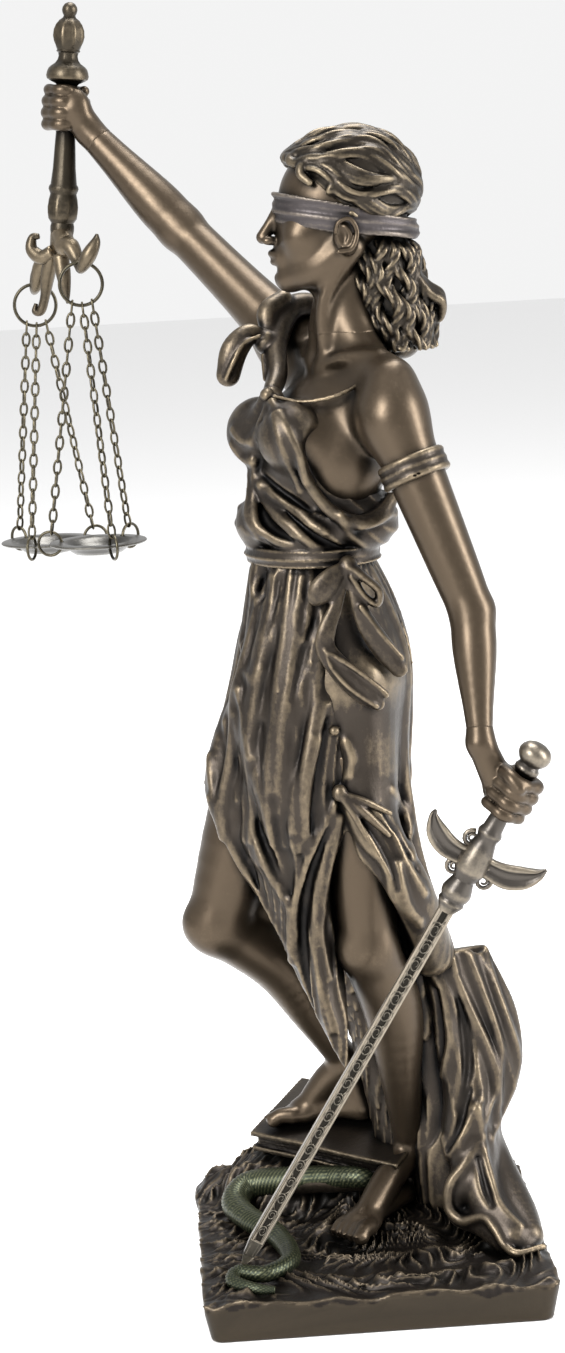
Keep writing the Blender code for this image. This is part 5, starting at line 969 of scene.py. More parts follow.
def model_bow(clay):
    knot = (*BOW_KNOT, 1.6)
    leaf = ((0, 1, 0.1), 1.9)
    clay.lump(BOW_KNOT, (2.4, 2.4, 2.8), None, 0.5)
    clay.tube([knot, (-1.5, -21.0, 184.5, 2.6), (-4.4, -21.5, 181.5, 3.3), (-6.0, -21.0, 179.5, 2.0)], 0.5, flat=leaf)
    clay.tube([knot, (6.2, -21.5, 183.6, 1.1), (9.2, -20.5, 180.3, 1.1), (8.6, -20.0, 177.2, 1.1),
               (5.5, -21.0, 179.5, 1.0), (2.8, -20.5, 184.5, 1.2)], 0.3, flat=((0, 1, 0), 0.6))
    clay.tube([(1.0, -20.5, 184.0, 1.3), (-1.5, -21.5, 177, 1.7), (-4.0, -22.5, 171.5, 2.3),
               (-4.3, -22.5, 167.0, 2.5), (-0.6, -23.0, 161.5, 3.0), (4.0, -22.5, 156.5, 3.2),
               (7.6, -21.5, 152.8, 1.8)], 0.5, flat=leaf)
    clay.tube([(-3.6, -23.8, 166.2, 0.7), (1.5, -24.8, 163.0, 0.7), (5.6, -23.8, 159.3, 0.7), (9.6, -21.8, 155.0, 1.0)], 0.5)
    clay.tube([(-4.6, -23.6, 167.0, 0.6), (-3.0, -24.2, 162.5, 0.7), (1.0, -24.4, 157.5, 0.7), (7.2, -22.8, 152.4, 0.7)], 0.5)
    clay.tube([(2.6, -20.5, 184.0, 1.3), (4.2, -21.5, 177, 1.9), (6.4, -21.5, 171.5, 2.6),
               (10.0, -20.5, 165.5, 2.8), (13.4, -19.0, 160.6, 2.2)], 0.5, flat=leaf)
    clay.tube([(4.6, -22.8, 177.0, 0.7), (9.5, -22.3, 169.5, 0.7), (14.0, -20.3, 163.5, 0.8)], 0.5)
    clay.lump((-3.3, -20.6, 146.6), (1.4, 1.4, 1.3), None, 0.4)
    clay.lump((-2.8, -21.4, 131.2), (1.9, 1.8, 2.2), None, 0.5)
    for run, thick in (((8.8, -20.2, 119.6), 1.3), ((9.4, -19.8, 125.0), 1.0), ((3.5, -21.2, 119.0), 0.9)):
        middle = along((-2.8, -21.8, 131.2), run, 0.5) + (0, -1.0, 0.6)
        clay.tube([(-2.8, -22.0, 131.2, 0.9), row(middle, thick), row(run, 0.7)], 0.5)


def model_straps(clay):
    clay.lump((-14.5, -8.5, 228.0), (1.9, 2.3, 1.8), None, 0.6)
    clay.tube([(-14.5, -9, 228, 0.6), (-6, -15.6, 226.5, 0.55), (4, -17.6, 228.5, 0.55), (13, -11, 233, 0.6),
               (17, -2, 235, 0.7)], 0.4)
    clay.tube([(-13.5, -6, 228, 2.2), (-11.5, 2, 232, 2.6), (-11.0, 9, 239, 2.8), (-6.5, 16, 247, 3.2),
               (2, 19, 246, 3.0), (10, 14, 238, 3)], 1.0)
    clay.lump((-13.5, 9.0, 239.5), (3.0, 3.0, 3.2), None, 0.6)
    clay.tube([(-13.5, 9, 240, 1.6), (-17.5, 8, 241.8, 2.6), (-21.5, 6.5, 238.2, 3.4), (-23.4, 6.5, 232.2, 3.0)],
              0.6, flat=((0, 1, 0), 1.3))
    clay.tube([(-15.0, 5.0, 241.5, 0.5), (-19.2, 4.4, 239.8, 0.6), (-22.0, 3.4, 235.5, 0.7), (-24.0, 4.2, 231.5, 0.6)], 0.5)
    clay.tube([(-12.5, 10, 241, 1.8), (-12.5, 12, 246.5, 2.8), (-8.5, 14, 249.5, 2.4)], 0.7)
    clay.tube([(-14.6, 1.0, 231.0, 0.6), (-14.6, 6.0, 236.5, 0.7)], 0.5)
    for share, thick in ((0.222, 1.0), (0.236, 0.7), (0.250, 0.7), (0.264, 1.0), (0.278, 0.7), (0.290, 0.7), (0.303, 1.05)):
        clay.tube(ring_along(LEFT_SHOULDER, LEFT_ELBOW, share, 7.5, thick), 0.25, 1)


bow = Clay((-12, -32, 112), (20, -8, 194), 0.42 * ROUGH)
model_bow(bow)
cast("bow_and_jewel", bow, 50000, CLOTH)
straps = Clay((-32, -34, 198), (34, 28, 258), 0.45 * ROUGH)
model_straps(straps)
cast("straps", straps, 28000, CLOTH)

# Hair and blindfold, part of the casting: waves combed back from her forehead over the band, and
# curls that fall from under it on her neck. The band is tied level over her eyes, lower behind.
HAIR_BRONZE = bronze("hair bronze", (0.003, 0.0026, 0.002), (0.022, 0.0175, 0.013), (0.17, 0.134, 0.088), 0.36)
BAND_BRONZE = bronze(
    "band bronze", (0.008, 0.007, 0.0075), (0.044, 0.038, 0.038), (0.15, 0.126, 0.102), 0.40, 0.5, 0.8)
BAND_FRONT, BAND_BACK, BAND_HALF = 272.6, 265.5, 3.7
HAIR, HAIR_RADII = (8.2, 1.0, 276.5), (16.5, 13.5, 13.5)
HAIRLINE = 278.0
COMB = (math.cos(math.radians(20)), math.sin(math.radians(20)))


def on_hair(across, back, lift=0.0):
    """A point on the cap of hair: across from the crown to her left, back from forehead to nape."""
    across, back = math.radians(across), math.radians(back)
    low = math.sin(back)
    ahead, up = -math.cos(back), low * math.cos(across)
    ball = np.array((ahead * COMB[0] + up * COMB[1], -low * math.sin(across), up * COMB[0] - ahead * COMB[1]))
    return np.array(HAIR) + ball * (np.array(HAIR_RADII) + lift)


def hair_starts(across):
    """How far back the hairline lies on a strand."""
    return next(back for back in range(5, 120, 2) if on_hair(across, back)[0] + on_hair(across, back)[2] > HAIRLINE)


def model_hair(clay):
    chance = np.random.default_rng(4)
    clay.lump(HAIR, HAIR_RADII, None, 1.0)
    clay.trim((HAIRLINE - 281, 1, 281), (-1, 0, -1))
    locks, strands = 17, 4
    for k in range(locks):
        across = -116 + 232 * k / (locks - 1)
        start = hair_starts(across)
        swing, pace, shift = chance.uniform(5, 9), chance.uniform(3.6, 4.8), chance.uniform(0, 360)
        for s in range(strands):
            rows = []
            beside, own = s - (strands - 1) / 2, chance.uniform(0, 360)
            for back in np.arange(start, 172, 6):
                wave = swing * math.sin(math.radians(pace * back + shift + 8 * s)) + 3.4 * beside
                lift = 0.9 - 0.4 * abs(beside) + 0.5 * math.sin(math.radians(6 * back + own))
                rows.append(row(on_hair(across + wave, back, lift), 0.74))
            clay.tube(rows, 0.25, 2)
    for k in range(9):
        across = -84 + 168 * k / 8
        start = hair_starts(across)
        roll = [row(on_hair(across - 14, start + 3, 0.2), 0.9), row(on_hair(across - 5, start - 1, 1.0), 1.3),
                row(on_hair(across + 6, start + 2, 1.2), 1.2), row(on_hair(across + 12, start + 12, 0.9), 0.9)]
        clay.tube(roll, 0.4)
    clay.tube([(14.0, 1, 265, 8.0), (16.0, 1, 256, 8.0), (18.5, 1.5, 247, 7.8), (19.4, 1.5, 239, 5.0)], 2.0)
    curls = 17
    for k in range(curls):
        turn = math.radians(-80 + 232 * k / (curls - 1))
        shift, reach = chance.uniform(0, 6.3), chance.uniform(-0.4, 0.6)
        for s in range(4):
            rows = []
            for j in range(15):
                out = 8.9 + reach + 0.6 * math.sin(0.9 * j + shift) - 0.28 * max(j - 9, 0) - 2.0 * max(2 - j, 0)
                swing = turn + 0.2 * math.sin(0.8 * j + shift)
                twist = 2 * math.pi * (s / 4 + j / 6.0) + k
                point = np.array((14.0 + 0.42 * j + out * math.sin(swing) * 0.95, 1 - out * math.cos(swing), 265 - 2.0 * j))
                side = np.array((math.cos(swing), math.sin(swing), 0))
                outward = np.array((math.sin(swing), -math.cos(swing), 0))
                rows.append(row(point + 0.95 * (math.cos(twist) * side + math.sin(twist) * outward), 0.68))
            clay.tube(rows, 0.2, 2)
    for s in range(3):
        lean = (s - 1) * 0.9
        clay.tube([(22, -3 + lean, 256, 1.4), (26, -3 + lean, 251 + lean, 1.3), (29.3, -2 + lean, 248.5 + lean, 1.2),
                   (29.0, 0, 244.5 + lean, 1.0), (26.5, 0, 244.5 + lean, 0.8)], 0.4)


def model_band(clay):
    part, (x, y, z) = clay.window((-16, -18, 255), (32, 20, 284))
    middle = BAND_FRONT + (BAND_BACK - BAND_FRONT) * np.clip((x - SKULL[0] + 17) / 34, 0, 1)
    wide = np.sqrt(((x - SKULL[0] - 0.2) / 17.6) ** 2 + ((y - SKULL[1]) / 13.3) ** 2)
    up = z - middle
    crease = 0.22 * np.sin(up * 1.5 + 1.2 * np.sin(x * 0.22) + 0.02 * x * y) + 0.15 * np.sin(up * 3.1 - 0.15 * x)
    half = BAND_HALF - 1.2 * np.clip((x - 4) / 14, 0, 1)
    clay.join(part, np.maximum((wide - 1) * 14 + crease, np.abs(up) - half), 0.5)


hair = Clay((-14, -20, 226), (38, 22, 298), 0.4 * ROUGH)
model_hair(hair)
cast("hair", hair, 105000, HAIR_BRONZE)
band = Clay((-16, -18, 252), (32, 20, 284), 0.4 * ROUGH)
model_band(band)
cast("blindfold", band, 24000, BAND_BRONZE)

# The sword, a second casting pushed through her left fist: a blade with running scrolls between
# plain raised edges, a collar, a guard of two leaves, a round grip and a knob at its end.
SWORD_WIDE = unit(np.cross((0.0, 1.0, 0.0), SWORD_AXIS))
SWORD_THICK = np.cross(SWORD_AXIS, SWORD_WIDE)
SWORD_LONG = float(np.linalg.norm(SWORD_TOP - SWORD_TIP))
BLADE_LONG, BLADE_TIP_WIDE, BLADE_TOP_WIDE, BLADE_THICK, BLADE_EDGE = 111.0, 3.7, 5.2, 1.9, 0.42
SCROLL_PITCH, SCROLL_WIRE = 5.0, 0.19
STEEL_GREY = bronze(
    "sword bronze", (0.007, 0.006, 0.005), (0.060, 0.053, 0.046), (0.26, 0.22, 0.165), 0.34, 0.4, 0.9)
STEEL_DARK = bronze(
    "sword ground bronze", (0.002, 0.0018, 0.0015), (0.006, 0.005, 0.0045), (0.020, 0.018, 0.015), 0.6, 0.6, 1.0)
STEEL_RAISED = bronze(
    "sword relief bronze", (0.030, 0.026, 0.022), (0.095, 0.085, 0.068), (0.22, 0.19, 0.15), 0.34, 0.3, 0.9)


def placed(piece, origin, x_way, y_way, z_way):
    """Puts a piece's mesh where its own axes lie along three ways from an origin."""
    columns = np.array([x_way, y_way, z_way]).T
    rows = [[*columns[i], origin[i] * MM] for i in range(3)] + [[0, 0, 0, 1]]
    piece.data.transform(Matrix(rows))
    return piece


def deselect():
    if bpy.context.object and bpy.context.object.mode != "OBJECT":
        bpy.ops.object.mode_set(mode="OBJECT")
    bpy.ops.object.select_all(action="DESELECT")


def turned(name, profile, sides, material):
    """A piece turned about Z, drawn up from a disc: rows of how far along it is and how thick."""
    deselect()
    bpy.ops.mesh.primitive_circle_add(vertices=sides, radius=profile[0][1] * MM, fill_type="NGON")
    piece = bpy.context.object
    piece.name = piece.data.name = name
    bpy.ops.object.mode_set(mode="EDIT")
    bpy.ops.mesh.select_all(action="SELECT")
    bpy.ops.transform.translate(value=(0, 0, profile[0][0] * MM))
    for (start, thin), (end, thick) in zip(profile, profile[1:]):
        bpy.ops.mesh.extrude_region_move(TRANSFORM_OT_translate={"value": (0, 0, (end - start) * MM)})
        share = thick / thin
        bpy.ops.transform.resize(value=(share, share, 1), center_override=(0, 0, end * MM))
    bpy.ops.mesh.select_all(action="SELECT")
    bpy.ops.mesh.normals_make_consistent(inside=False)
    bpy.ops.object.mode_set(mode="OBJECT")
    piece.data.materials.append(material)
    bpy.ops.object.shade_smooth_by_angle(angle=math.radians(40))
    return piece


def vine(name, points, wire, material, flat=None, sides=3):
    """A bar bent through rows of x, y, z and a share of its thickness, closed at both ends."""
    curve = bpy.data.curves.new(name, "CURVE")
    curve.dimensions = "3D"
    curve.bevel_depth, curve.bevel_resolution, curve.use_fill_caps = wire * MM, sides, True
    spline = curve.splines.new("POLY")
    spline.points.add(len(points) - 1)
    for spot, (x, y, z, share) in zip(spline.points, points):
        spot.co = (x * MM, y * MM, z * MM, 1)
        spot.radius = share
    piece = bpy.data.objects.new(name, curve)
    bpy.context.scene.collection.objects.link(piece)
    deselect()
    bpy.context.view_layer.objects.active = piece
    piece.select_set(True)
    bpy.ops.object.convert(target="MESH")
    piece = bpy.context.object
    bpy.ops.object.mode_set(mode="EDIT")
    bpy.ops.mesh.select_all(action="SELECT")
    bpy.ops.mesh.remove_doubles(threshold=0.00001)
    bpy.ops.mesh.normals_make_consistent(inside=False)
    bpy.ops.object.mode_set(mode="OBJECT")
    piece.data.materials.clear()
    piece.data.materials.append(material)
    bpy.ops.object.shade_smooth()
    return piece


def join(name, parts):
    """One piece out of several."""
    deselect()
    for part in parts:
        part.select_set(True)
    bpy.context.view_layer.objects.active = parts[0]
    bpy.ops.object.join()
    piece = bpy.context.object
    piece.name = piece.data.name = name
    return piece


metal_pieces = []


def finish(piece, node):
    metal_pieces.append(piece)
    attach(piece, "root")
    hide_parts(node)


deselect()
bpy.ops.mesh.primitive_cube_add(size=1, location=(0, 0, 0))
blade = bpy.context.object
blade.scale = (BLADE_TOP_WIDE * MM, BLADE_THICK * MM, BLADE_LONG * MM)
bpy.ops.object.transform_apply(location=False, rotation=False, scale=True)
bpy.ops.object.mode_set(mode="EDIT")
bpy.ops.mesh.select_all(action="SELECT")
bpy.ops.transform.translate(value=(0, 0, BLADE_LONG / 2 * MM))
bpy.ops.mesh.select_mode(type="FACE")


def pick(piece, test):
    """Selects the faces of a piece, in edit mode, whose middle and normal pass a test."""
    bpy.ops.object.mode_set(mode="OBJECT")
    for polygon in piece.data.polygons:
        polygon.select = bool(test(polygon.center / MM, polygon.normal))
    bpy.ops.object.mode_set(mode="EDIT")


pick(blade, lambda middle, normal: normal.z < -0.9)
share = BLADE_TIP_WIDE / BLADE_TOP_WIDE
bpy.ops.transform.resize(value=(share, 1, 1), center_override=(0, 0, 0))
bpy.ops.transform.translate(value=(0, 0, 7 * MM))
bpy.ops.mesh.extrude_region_move(TRANSFORM_OT_translate={"value": (0, 0, -4 * MM)})
bpy.ops.transform.resize(value=(0.8, 0.85, 1), center_override=(0, 0, 3 * MM))
bpy.ops.mesh.extrude_region_move(TRANSFORM_OT_translate={"value": (0, 0, -3 * MM)})
bpy.ops.transform.resize(value=(0.25, 0.5, 1), center_override=(0, 0, 0))
pick(blade, lambda middle, normal: abs(normal.y) > 0.9 and middle.z > 10)
bpy.ops.mesh.inset(thickness=BLADE_EDGE * MM, depth=0, use_individual=True)
bpy.ops.mesh.inset(thickness=0.12 * MM, depth=-0.3 * MM, use_individual=True)
bpy.ops.mesh.select_all(action="SELECT")
bpy.ops.mesh.bevel(offset=0.1 * MM, segments=1, affect="EDGES")
bpy.ops.mesh.normals_make_consistent(inside=False)
bpy.ops.object.mode_set(mode="OBJECT")
blade.data.materials.append(STEEL_RAISED)
blade.data.materials.append(STEEL_DARK)
for polygon in blade.data.polygons:
    if abs(polygon.normal.y) > 0.9 and polygon.area > 60 * MM * MM:
        polygon.material_index = 1
parts = [blade]
count = int((BLADE_LONG - 14) / SCROLL_PITCH)
for side in (-1, 1):
    for k in range(count):
        low = 8 + (k + 0.5) * SCROLL_PITCH
        half = (BLADE_TIP_WIDE + (BLADE_TOP_WIDE - BLADE_TIP_WIDE) * low / BLADE_LONG) / 2 - BLADE_EDGE - 0.3
        hand = 1 if k % 2 else -1
        level = side * (BLADE_THICK / 2 - 0.22)
        rows = []
        for j in range(22):
            turn = j * math.radians(28)
            reach = half * (1.0 - 0.034 * j)
            rows.append((hand * reach * math.cos(turn) * 0.95, level, low + reach * math.sin(turn) * 1.35, 1.0 - 0.02 * j))
        rows.insert(0, (hand * half * 0.4, level, low - SCROLL_PITCH * 0.62, 0.6))
        parts.append(vine("scroll", rows, SCROLL_WIRE, STEEL_RAISED, sides=1))
        leaf = [(-hand * half * 0.1, level, low + 1.6, 0.5), (-hand * half * 0.55, level, low + 2.4, 1.3),
                (-hand * half * 0.9, level, low + 3.4, 0.4)]
        parts.append(vine("leaf", leaf, SCROLL_WIRE, STEEL_RAISED, sides=1))
collar, end = BLADE_LONG - 2, SWORD_LONG
hilt_profile = (
    (collar - 3.0, 2.0), (collar - 1.2, 3.0), (collar - 0.4, 3.4), (collar + 0.4, 3.1), (collar + 1.4, 3.6),
    (collar + 2.5, 3.8), (collar + 3.6, 3.5), (collar + 6.0, 2.7), (collar + 8.0, 3.6), (collar + 9.0, 4.0),
    (collar + 11.5, 3.9), (collar + 14.0, 3.6), (collar + 16.0, 3.0), (collar + 17.5, 2.6),
    (collar + 18.4, 2.9), (collar + 19.0, 3.1), (collar + 19.7, 2.9), (collar + 20.4, 2.5),
    (end - 21.0, GRIP_RADIUS), (end - 14.0, GRIP_RADIUS + 0.1), (end - 9.0, GRIP_RADIUS - 0.1),
    (end - 8.0, 2.7), (end - 7.4, 3.1), (end - 6.6, 3.1), (end - 6.2, 2.8), (end - 5.6, 2.5), (end - 5.0, 3.2),
    (end - 3.9, 3.9), (end - 2.8, 4.1), (end - 1.8, 3.8), (end - 0.8, 3.0), (end - 0.2, 1.8), (end, 0.6),
)
parts.append(turned("hilt", hilt_profile, 32, STEEL_GREY))
GUARD_MIDDLE = BLADE_LONG + 10.0
arms = (
    ((0, 0, 2.6), (-4.0, -0.6, 2.5), (-8.0, -0.2, 2.9), (-11.5, 1.8, 2.6), (-13.8, 4.6, 1.2), (-14.2, 6.4, 0.3)),
    ((0, 0, 2.6), (4.0, -0.8, 2.5), (8.5, -0.8, 3.1), (12.4, 0.8, 2.8), (15.2, 3.2, 1.4), (16.4, 5.2, 0.3)),
)
GUARD_THICK = 1.3
for arm in arms:
    rings = []
    path = smooth_path(arm, 5)
    for k, (wide, up, half) in enumerate(path):
        ahead = unit(path[min(k + 1, len(path) - 1), :2] - path[max(k - 1, 0), :2])
        beside = np.array((-ahead[1], ahead[0]))
        ring = []
        for across, thick in ((1, 0), (0.9, 1), (0.62, 1.05), (0.4, 0.35), (0, 0.18), (-0.4, 0.35), (-0.62, 1.05),
                              (-0.9, 1), (-1, 0), (-0.9, -1), (-0.62, -1.05), (-0.4, -0.35), (0, -0.18),
                              (0.4, -0.35), (0.62, -1.05), (0.9, -1)):
            at = np.array((wide, up)) + beside * across * half
            ring.append((at[0], thick * GUARD_THICK * min(1, half / 1.5), GUARD_MIDDLE + at[1]))
        rings.append(np.array(ring))
    parts.append(loose_skin("guard arm", rings, STEEL_GREY))
for wide, up, hand in ((-3.6, -4.2, 1), (4.4, -4.4, -1), (-3.2, 4.0, 1)):
    rows = []
    for j in range(20):
        turn = math.radians(90 + hand * 30 * j)
        reach = 2.1 * (1 - 0.04 * j)
        rows.append((wide + reach * math.cos(turn), 0, GUARD_MIDDLE + up + reach * math.sin(turn), 1.6 - 0.05 * j))
    parts.append(vine("curl", rows, 0.42, STEEL_GREY, sides=2))
sword = join("sword_cast", parts)
placed(sword, SWORD_TIP, SWORD_WIDE, SWORD_THICK, SWORD_AXIS)
finish(sword, "sword")

# The handle of the balance, turned, with a fluted neck, and under it a beam of two scrolled arms
# that end in hooks, and leaves between them. It is one casting held in her right fist.
BALANCE = bronze("balance bronze", (0.005, 0.004, 0.003), (0.032, 0.026, 0.018), (0.15, 0.118, 0.078), 0.36, 0.4, 0.88)
handle_profile = (
    (0.0, 0.5), (0.4, 1.3), (1.2, 1.85), (2.0, 2.0), (2.8, 1.8), (3.4, 1.5), (3.9, 1.7), (4.6, 2.7), (5.6, 3.6),
    (7.0, 4.2), (8.6, 4.35), (10.0, 4.0), (11.4, 3.2), (12.0, 2.9), (12.4, 3.1), (12.8, 2.6), (13.6, 2.5),
    (14.6, 2.9), (15.4, 3.5), (16.2, 4.5), (16.8, 5.0), (17.6, 5.3), (18.6, 5.5), (19.4, 5.3), (19.9, 4.5),
    (20.6, 3.0), (21.2, HANDLE_GRIP), (26.0, HANDLE_GRIP), (31.5, HANDLE_GRIP), (33.0, 2.6), (37.0, 2.9),
    (42.0, 3.15), (46.2, 3.4), (46.8, 3.8), (47.4, 3.9), (48.2, 3.6), (48.7, 3.4), (49.2, 3.5), (50.2, 3.9),
    (52.0, 4.25), (53.6, 4.15), (55.0, 3.7), (56.2, 2.9), (57.0, 3.1), (58.0, 3.1), (61.0, 2.6),
)
handle = turned("handle", handle_profile, 48, BALANCE)
spots = np.empty(len(handle.data.vertices) * 3, np.float32)
handle.data.vertices.foreach_get("co", spots)
spots = spots.reshape(-1, 3)
turns = np.arctan2(spots[:, 1], spots[:, 0])
for low, high, count, deep in ((4.2, 11.6, 8, 0.10), (13.4, 16.4, 8, 0.10), (32.0, 46.0, 6, 0.06), (49.5, 55.0, 8, 0.08)):
    share = np.clip(np.minimum(spots[:, 2] / MM - low, high - spots[:, 2] / MM) / 1.5, 0, 1)
    spots[:, :2] *= (1 - deep * share * np.abs(np.cos(turns * count / 2)) ** 0.6)[:, None]
handle.data.vertices.foreach_set("co", spots.ravel())
handle_way = unit(HANDLE_END - HANDLE_TOP)
handle_side = unit(np.cross(handle_way, (0, 1, 0)))
placed(handle, HANDLE_TOP, handle_side, np.cross(handle_way, handle_side), handle_way)
HOOK, RING_RADIUS, RING_WIRE, GAP = 1.05, 5.5, 0.45, 0.3
RINGS = {"far": np.array((-72.1, 68.0, 248.7)), "near": np.array((-59.0, 42.0, 254.8))}
drop = UP * (RING_RADIUS - RING_WIRE - GAP - HOOK)
far_hook, near_hook, foot = RINGS["far"] + drop, RINGS["near"] + drop, HANDLE_END
bars = (
    (row(foot + (0, 0, 3), 2.7), row(foot + (-1.0, 4, -2.5), 2.9), (-69.3, 62.5, 259.0, 2.5),
     row(far_hook + (0.8, -3.4, 1.6), 1.6), row(far_hook, HOOK), row(far_hook + (0, 2.6, 1.2), 1.3),
     row(far_hook + (0.6, 3.6, 4.0), 1.5), row(far_hook + (1.2, 2.2, 6.0), 1.1), row(far_hook + (0.8, 0.8, 5.0), 0.6)),
    (row(foot + (0, 0, 3), 2.7), row(foot + (1.0, -4.0, -0.5), 2.9), (-61.0, 48.0, 264.0, 2.3),
     row(near_hook + (-0.4, 3.2, 1.8), 1.6), row(near_hook, HOOK), row(near_hook + (0.8, -2.4, 0.8), 1.5),
     row(near_hook + (2.6, -3.6, 3.6), 2.0), row(near_hook + (4.4, -3.6, 6.6), 1.4), row(near_hook + (5.0, -3.0, 8.8), 0.4)),
    ((-66.0, 56.0, 263.0, 1.8), (-69.0, 57.5, 261.5, 2.0), (-71.6, 59.0, 263.6, 1.7), (-71.2, 59.0, 266.6, 1.2),
     (-69.4, 58.6, 267.0, 0.7)),
    ((-64.0, 53.0, 262.0, 2.2), (-63.6, 52.0, 257.0, 2.0), (-63.2, 51.4, 252.5, 1.2), (-63.0, 51.2, 249.5, 0.3)),
    ((-66.4, 57.0, 262.0, 2.0), (-68.0, 59.5, 256.5, 1.9), (-69.0, 61.0, 251.5, 1.3), (-70.4, 61.6, 247.5, 1.2),
     (-72.0, 62.0, 247.4, 0.9), (-71.6, 62.0, 249.4, 0.5)),
)
parts = [handle]
for bar in bars:
    parts.append(vine("bar", smooth_path(bar, 6), 1.0, BALANCE, sides=3))
beam = join("balance_cast", parts)
finish(beam, "balance_beam")

# The two big rings, closed wire, one on each hook
BRASS = bronze("dark brass", (0.008, 0.007, 0.005), (0.040, 0.035, 0.024), (0.20, 0.172, 0.112), 0.32, 0.3, 0.92)


def wire_ring(name, centre, across, radius, wire, sides=40, around=10):
    """A ring of wire whose plane holds a level way and the upright."""
    deselect()
    bpy.ops.mesh.primitive_torus_add(
        major_segments=sides, minor_segments=around, major_radius=radius * MM, minor_radius=wire * MM)
    piece = bpy.context.object
    piece.name = piece.data.name = name
    bpy.ops.object.shade_smooth()
    piece.data.materials.append(BRASS)
    across = unit(across)
    return placed(piece, centre, across, UP, np.cross(across, UP))


for side, centre in RINGS.items():
    finish(wire_ring("big_ring_" + side, centre, (1, 0, 0), RING_RADIUS, RING_WIRE), "ring_" + side)

# The pans: thin spun dishes with a flat rim, drilled three times, a small wire ring through each hole
PAN_RADIUS, PAN_THICK, PAN_DEEP, PAN_RIM = 12.8, 1.0, 2.2, 4.0
HANGER_RADIUS, HANGER_WIRE = 3.1, 0.4
PANS = {
    "far": (np.array((-72.8, 68.0, 185.5)), (11, 251, 131)),
    "near": (np.array((-59.0, 42.0, 187.9)), (49, -71, 169)),
}
PAN_METAL = bronze("pan metal", (0.010, 0.010, 0.009), (0.052, 0.050, 0.046), (0.19, 0.178, 0.152), 0.30, 0.35, 0.9)
pan_profile = (
    (-2.7, 0.05), (-2.7, 5.8), (-2.6, 6.4), (-1.7, 7.6), (-0.9, 8.6), (-0.45, 9.6), (-0.35, 12.2), (-0.2, 12.6),
    (0.05, 12.8), (0.3, 12.65), (0.4, 12.3), (0.4, 9.6), (0.3, 9.0), (-0.1, 8.2), (-1.0, 7.2), (-1.8, 6.2),
    (-1.95, 5.6), (-1.95, 0.05),
)
for side, (centre, turns) in PANS.items():
    pan = turned("dish_" + side, pan_profile, 64, PAN_METAL)
    placed(pan, centre, (1, 0, 0), (0, 1, 0), (0, 0, 1))
    for turn in turns:
        way = np.array((math.cos(math.radians(turn)), math.sin(math.radians(turn)), 0))
        hole = centre + way * (PAN_RADIUS - HANGER_RADIUS)
        deselect()
        bpy.ops.mesh.primitive_cylinder_add(vertices=16, radius=0.75 * MM, depth=6 * MM, location=hole * MM)
        drill = bpy.context.object
        cut = pan.modifiers.new("hole", "BOOLEAN")
        cut.operation, cut.solver, cut.object = "DIFFERENCE", "EXACT", drill
        deselect()
        bpy.context.view_layer.objects.active = pan
        pan.select_set(True)
        bpy.ops.object.modifier_apply(modifier="hole")
        bpy.data.objects.remove(drill)
    finish(pan, "pan_" + side)
    for k, turn in enumerate(turns):
        way = np.array((math.cos(math.radians(turn)), math.sin(math.radians(turn)), 0))
        ring = wire_ring(f"small_ring_{side}_{k + 1}", centre + way * PAN_RADIUS, way, HANGER_RADIUS, HANGER_WIRE, 28, 8)
        finish(ring, f"hanger_{side}_{k + 1}")

# Six chains of oval wire links, each link through the next, from the big rings to the small ones
LINK_WIRE, LINK_WIDE, LINK_LONG, CHAIN_SPREAD = 0.32, 2.5, 3.8, 28
for side, (centre, turns) in PANS.items():
    for k, turn in enumerate(turns):
        at = math.radians((1 - k) * CHAIN_SPREAD)
        start = RINGS[side] + RING_RADIUS * np.array((math.sin(at), 0, -math.cos(at)))
        out = np.array((math.cos(math.radians(turn)), math.sin(math.radians(turn)), 0))
        end = centre + out * PAN_RADIUS + HANGER_RADIUS * unit(UP - out * 0.2)
        way = unit(end - start)
        start = start - way * (RING_WIRE + LINK_WIRE)
        end = end + way * (HANGER_WIRE + LINK_WIRE)
        span = np.linalg.norm(end - start)
        count = round((span - 2 * LINK_WIRE) / (LINK_LONG - 2 * LINK_WIRE))
        long = (span + 2 * LINK_WIRE * (count - 1)) / count
        first = unit(np.cross(way, (1.0, 0, 0)))
        beside = np.cross(UP, out)
        last = unit(beside - way * (beside @ way))
        twist = math.atan2(np.cross(first, last) @ way, first @ last) - (count - 1) % 2 * math.pi / 2
        twist = (twist + math.pi / 2) % math.pi - math.pi / 2
        links = []
        for n in range(count):
            deselect()
            if n == 0:
                bpy.ops.mesh.primitive_torus_add(
                    major_segments=14, minor_segments=6, major_radius=(LINK_WIDE / 2 - LINK_WIRE) * MM,
                    minor_radius=LINK_WIRE * MM)
                link = bpy.context.object
                stretch = long / 2 / (LINK_WIDE / 2 - LINK_WIRE)
                for vertex in link.data.vertices:
                    vertex.co.y += (stretch - 1) * (LINK_WIDE / 2 - LINK_WIRE) * MM * math.sin(math.atan2(vertex.co.y, vertex.co.x))
                bpy.ops.object.shade_smooth()
                link.data.materials.append(BRASS)
                pattern = link.data.copy()
            else:
                link = bpy.data.objects.new("link", pattern.copy())
                bpy.context.scene.collection.objects.link(link)
            turned_by = n * math.pi / 2 + twist * n / (count - 1)
            wide = math.cos(turned_by) * first + math.sin(turned_by) * np.cross(way, first)
            middle = start + way * (long / 2 + n * (long - 2 * LINK_WIRE))
            links.append(placed(link, middle, wide, way, np.cross(wide, way)))
        chain = join(f"links_{side}_{k + 1}", links)
        finish(chain, f"chain_{side}_{k + 1}")
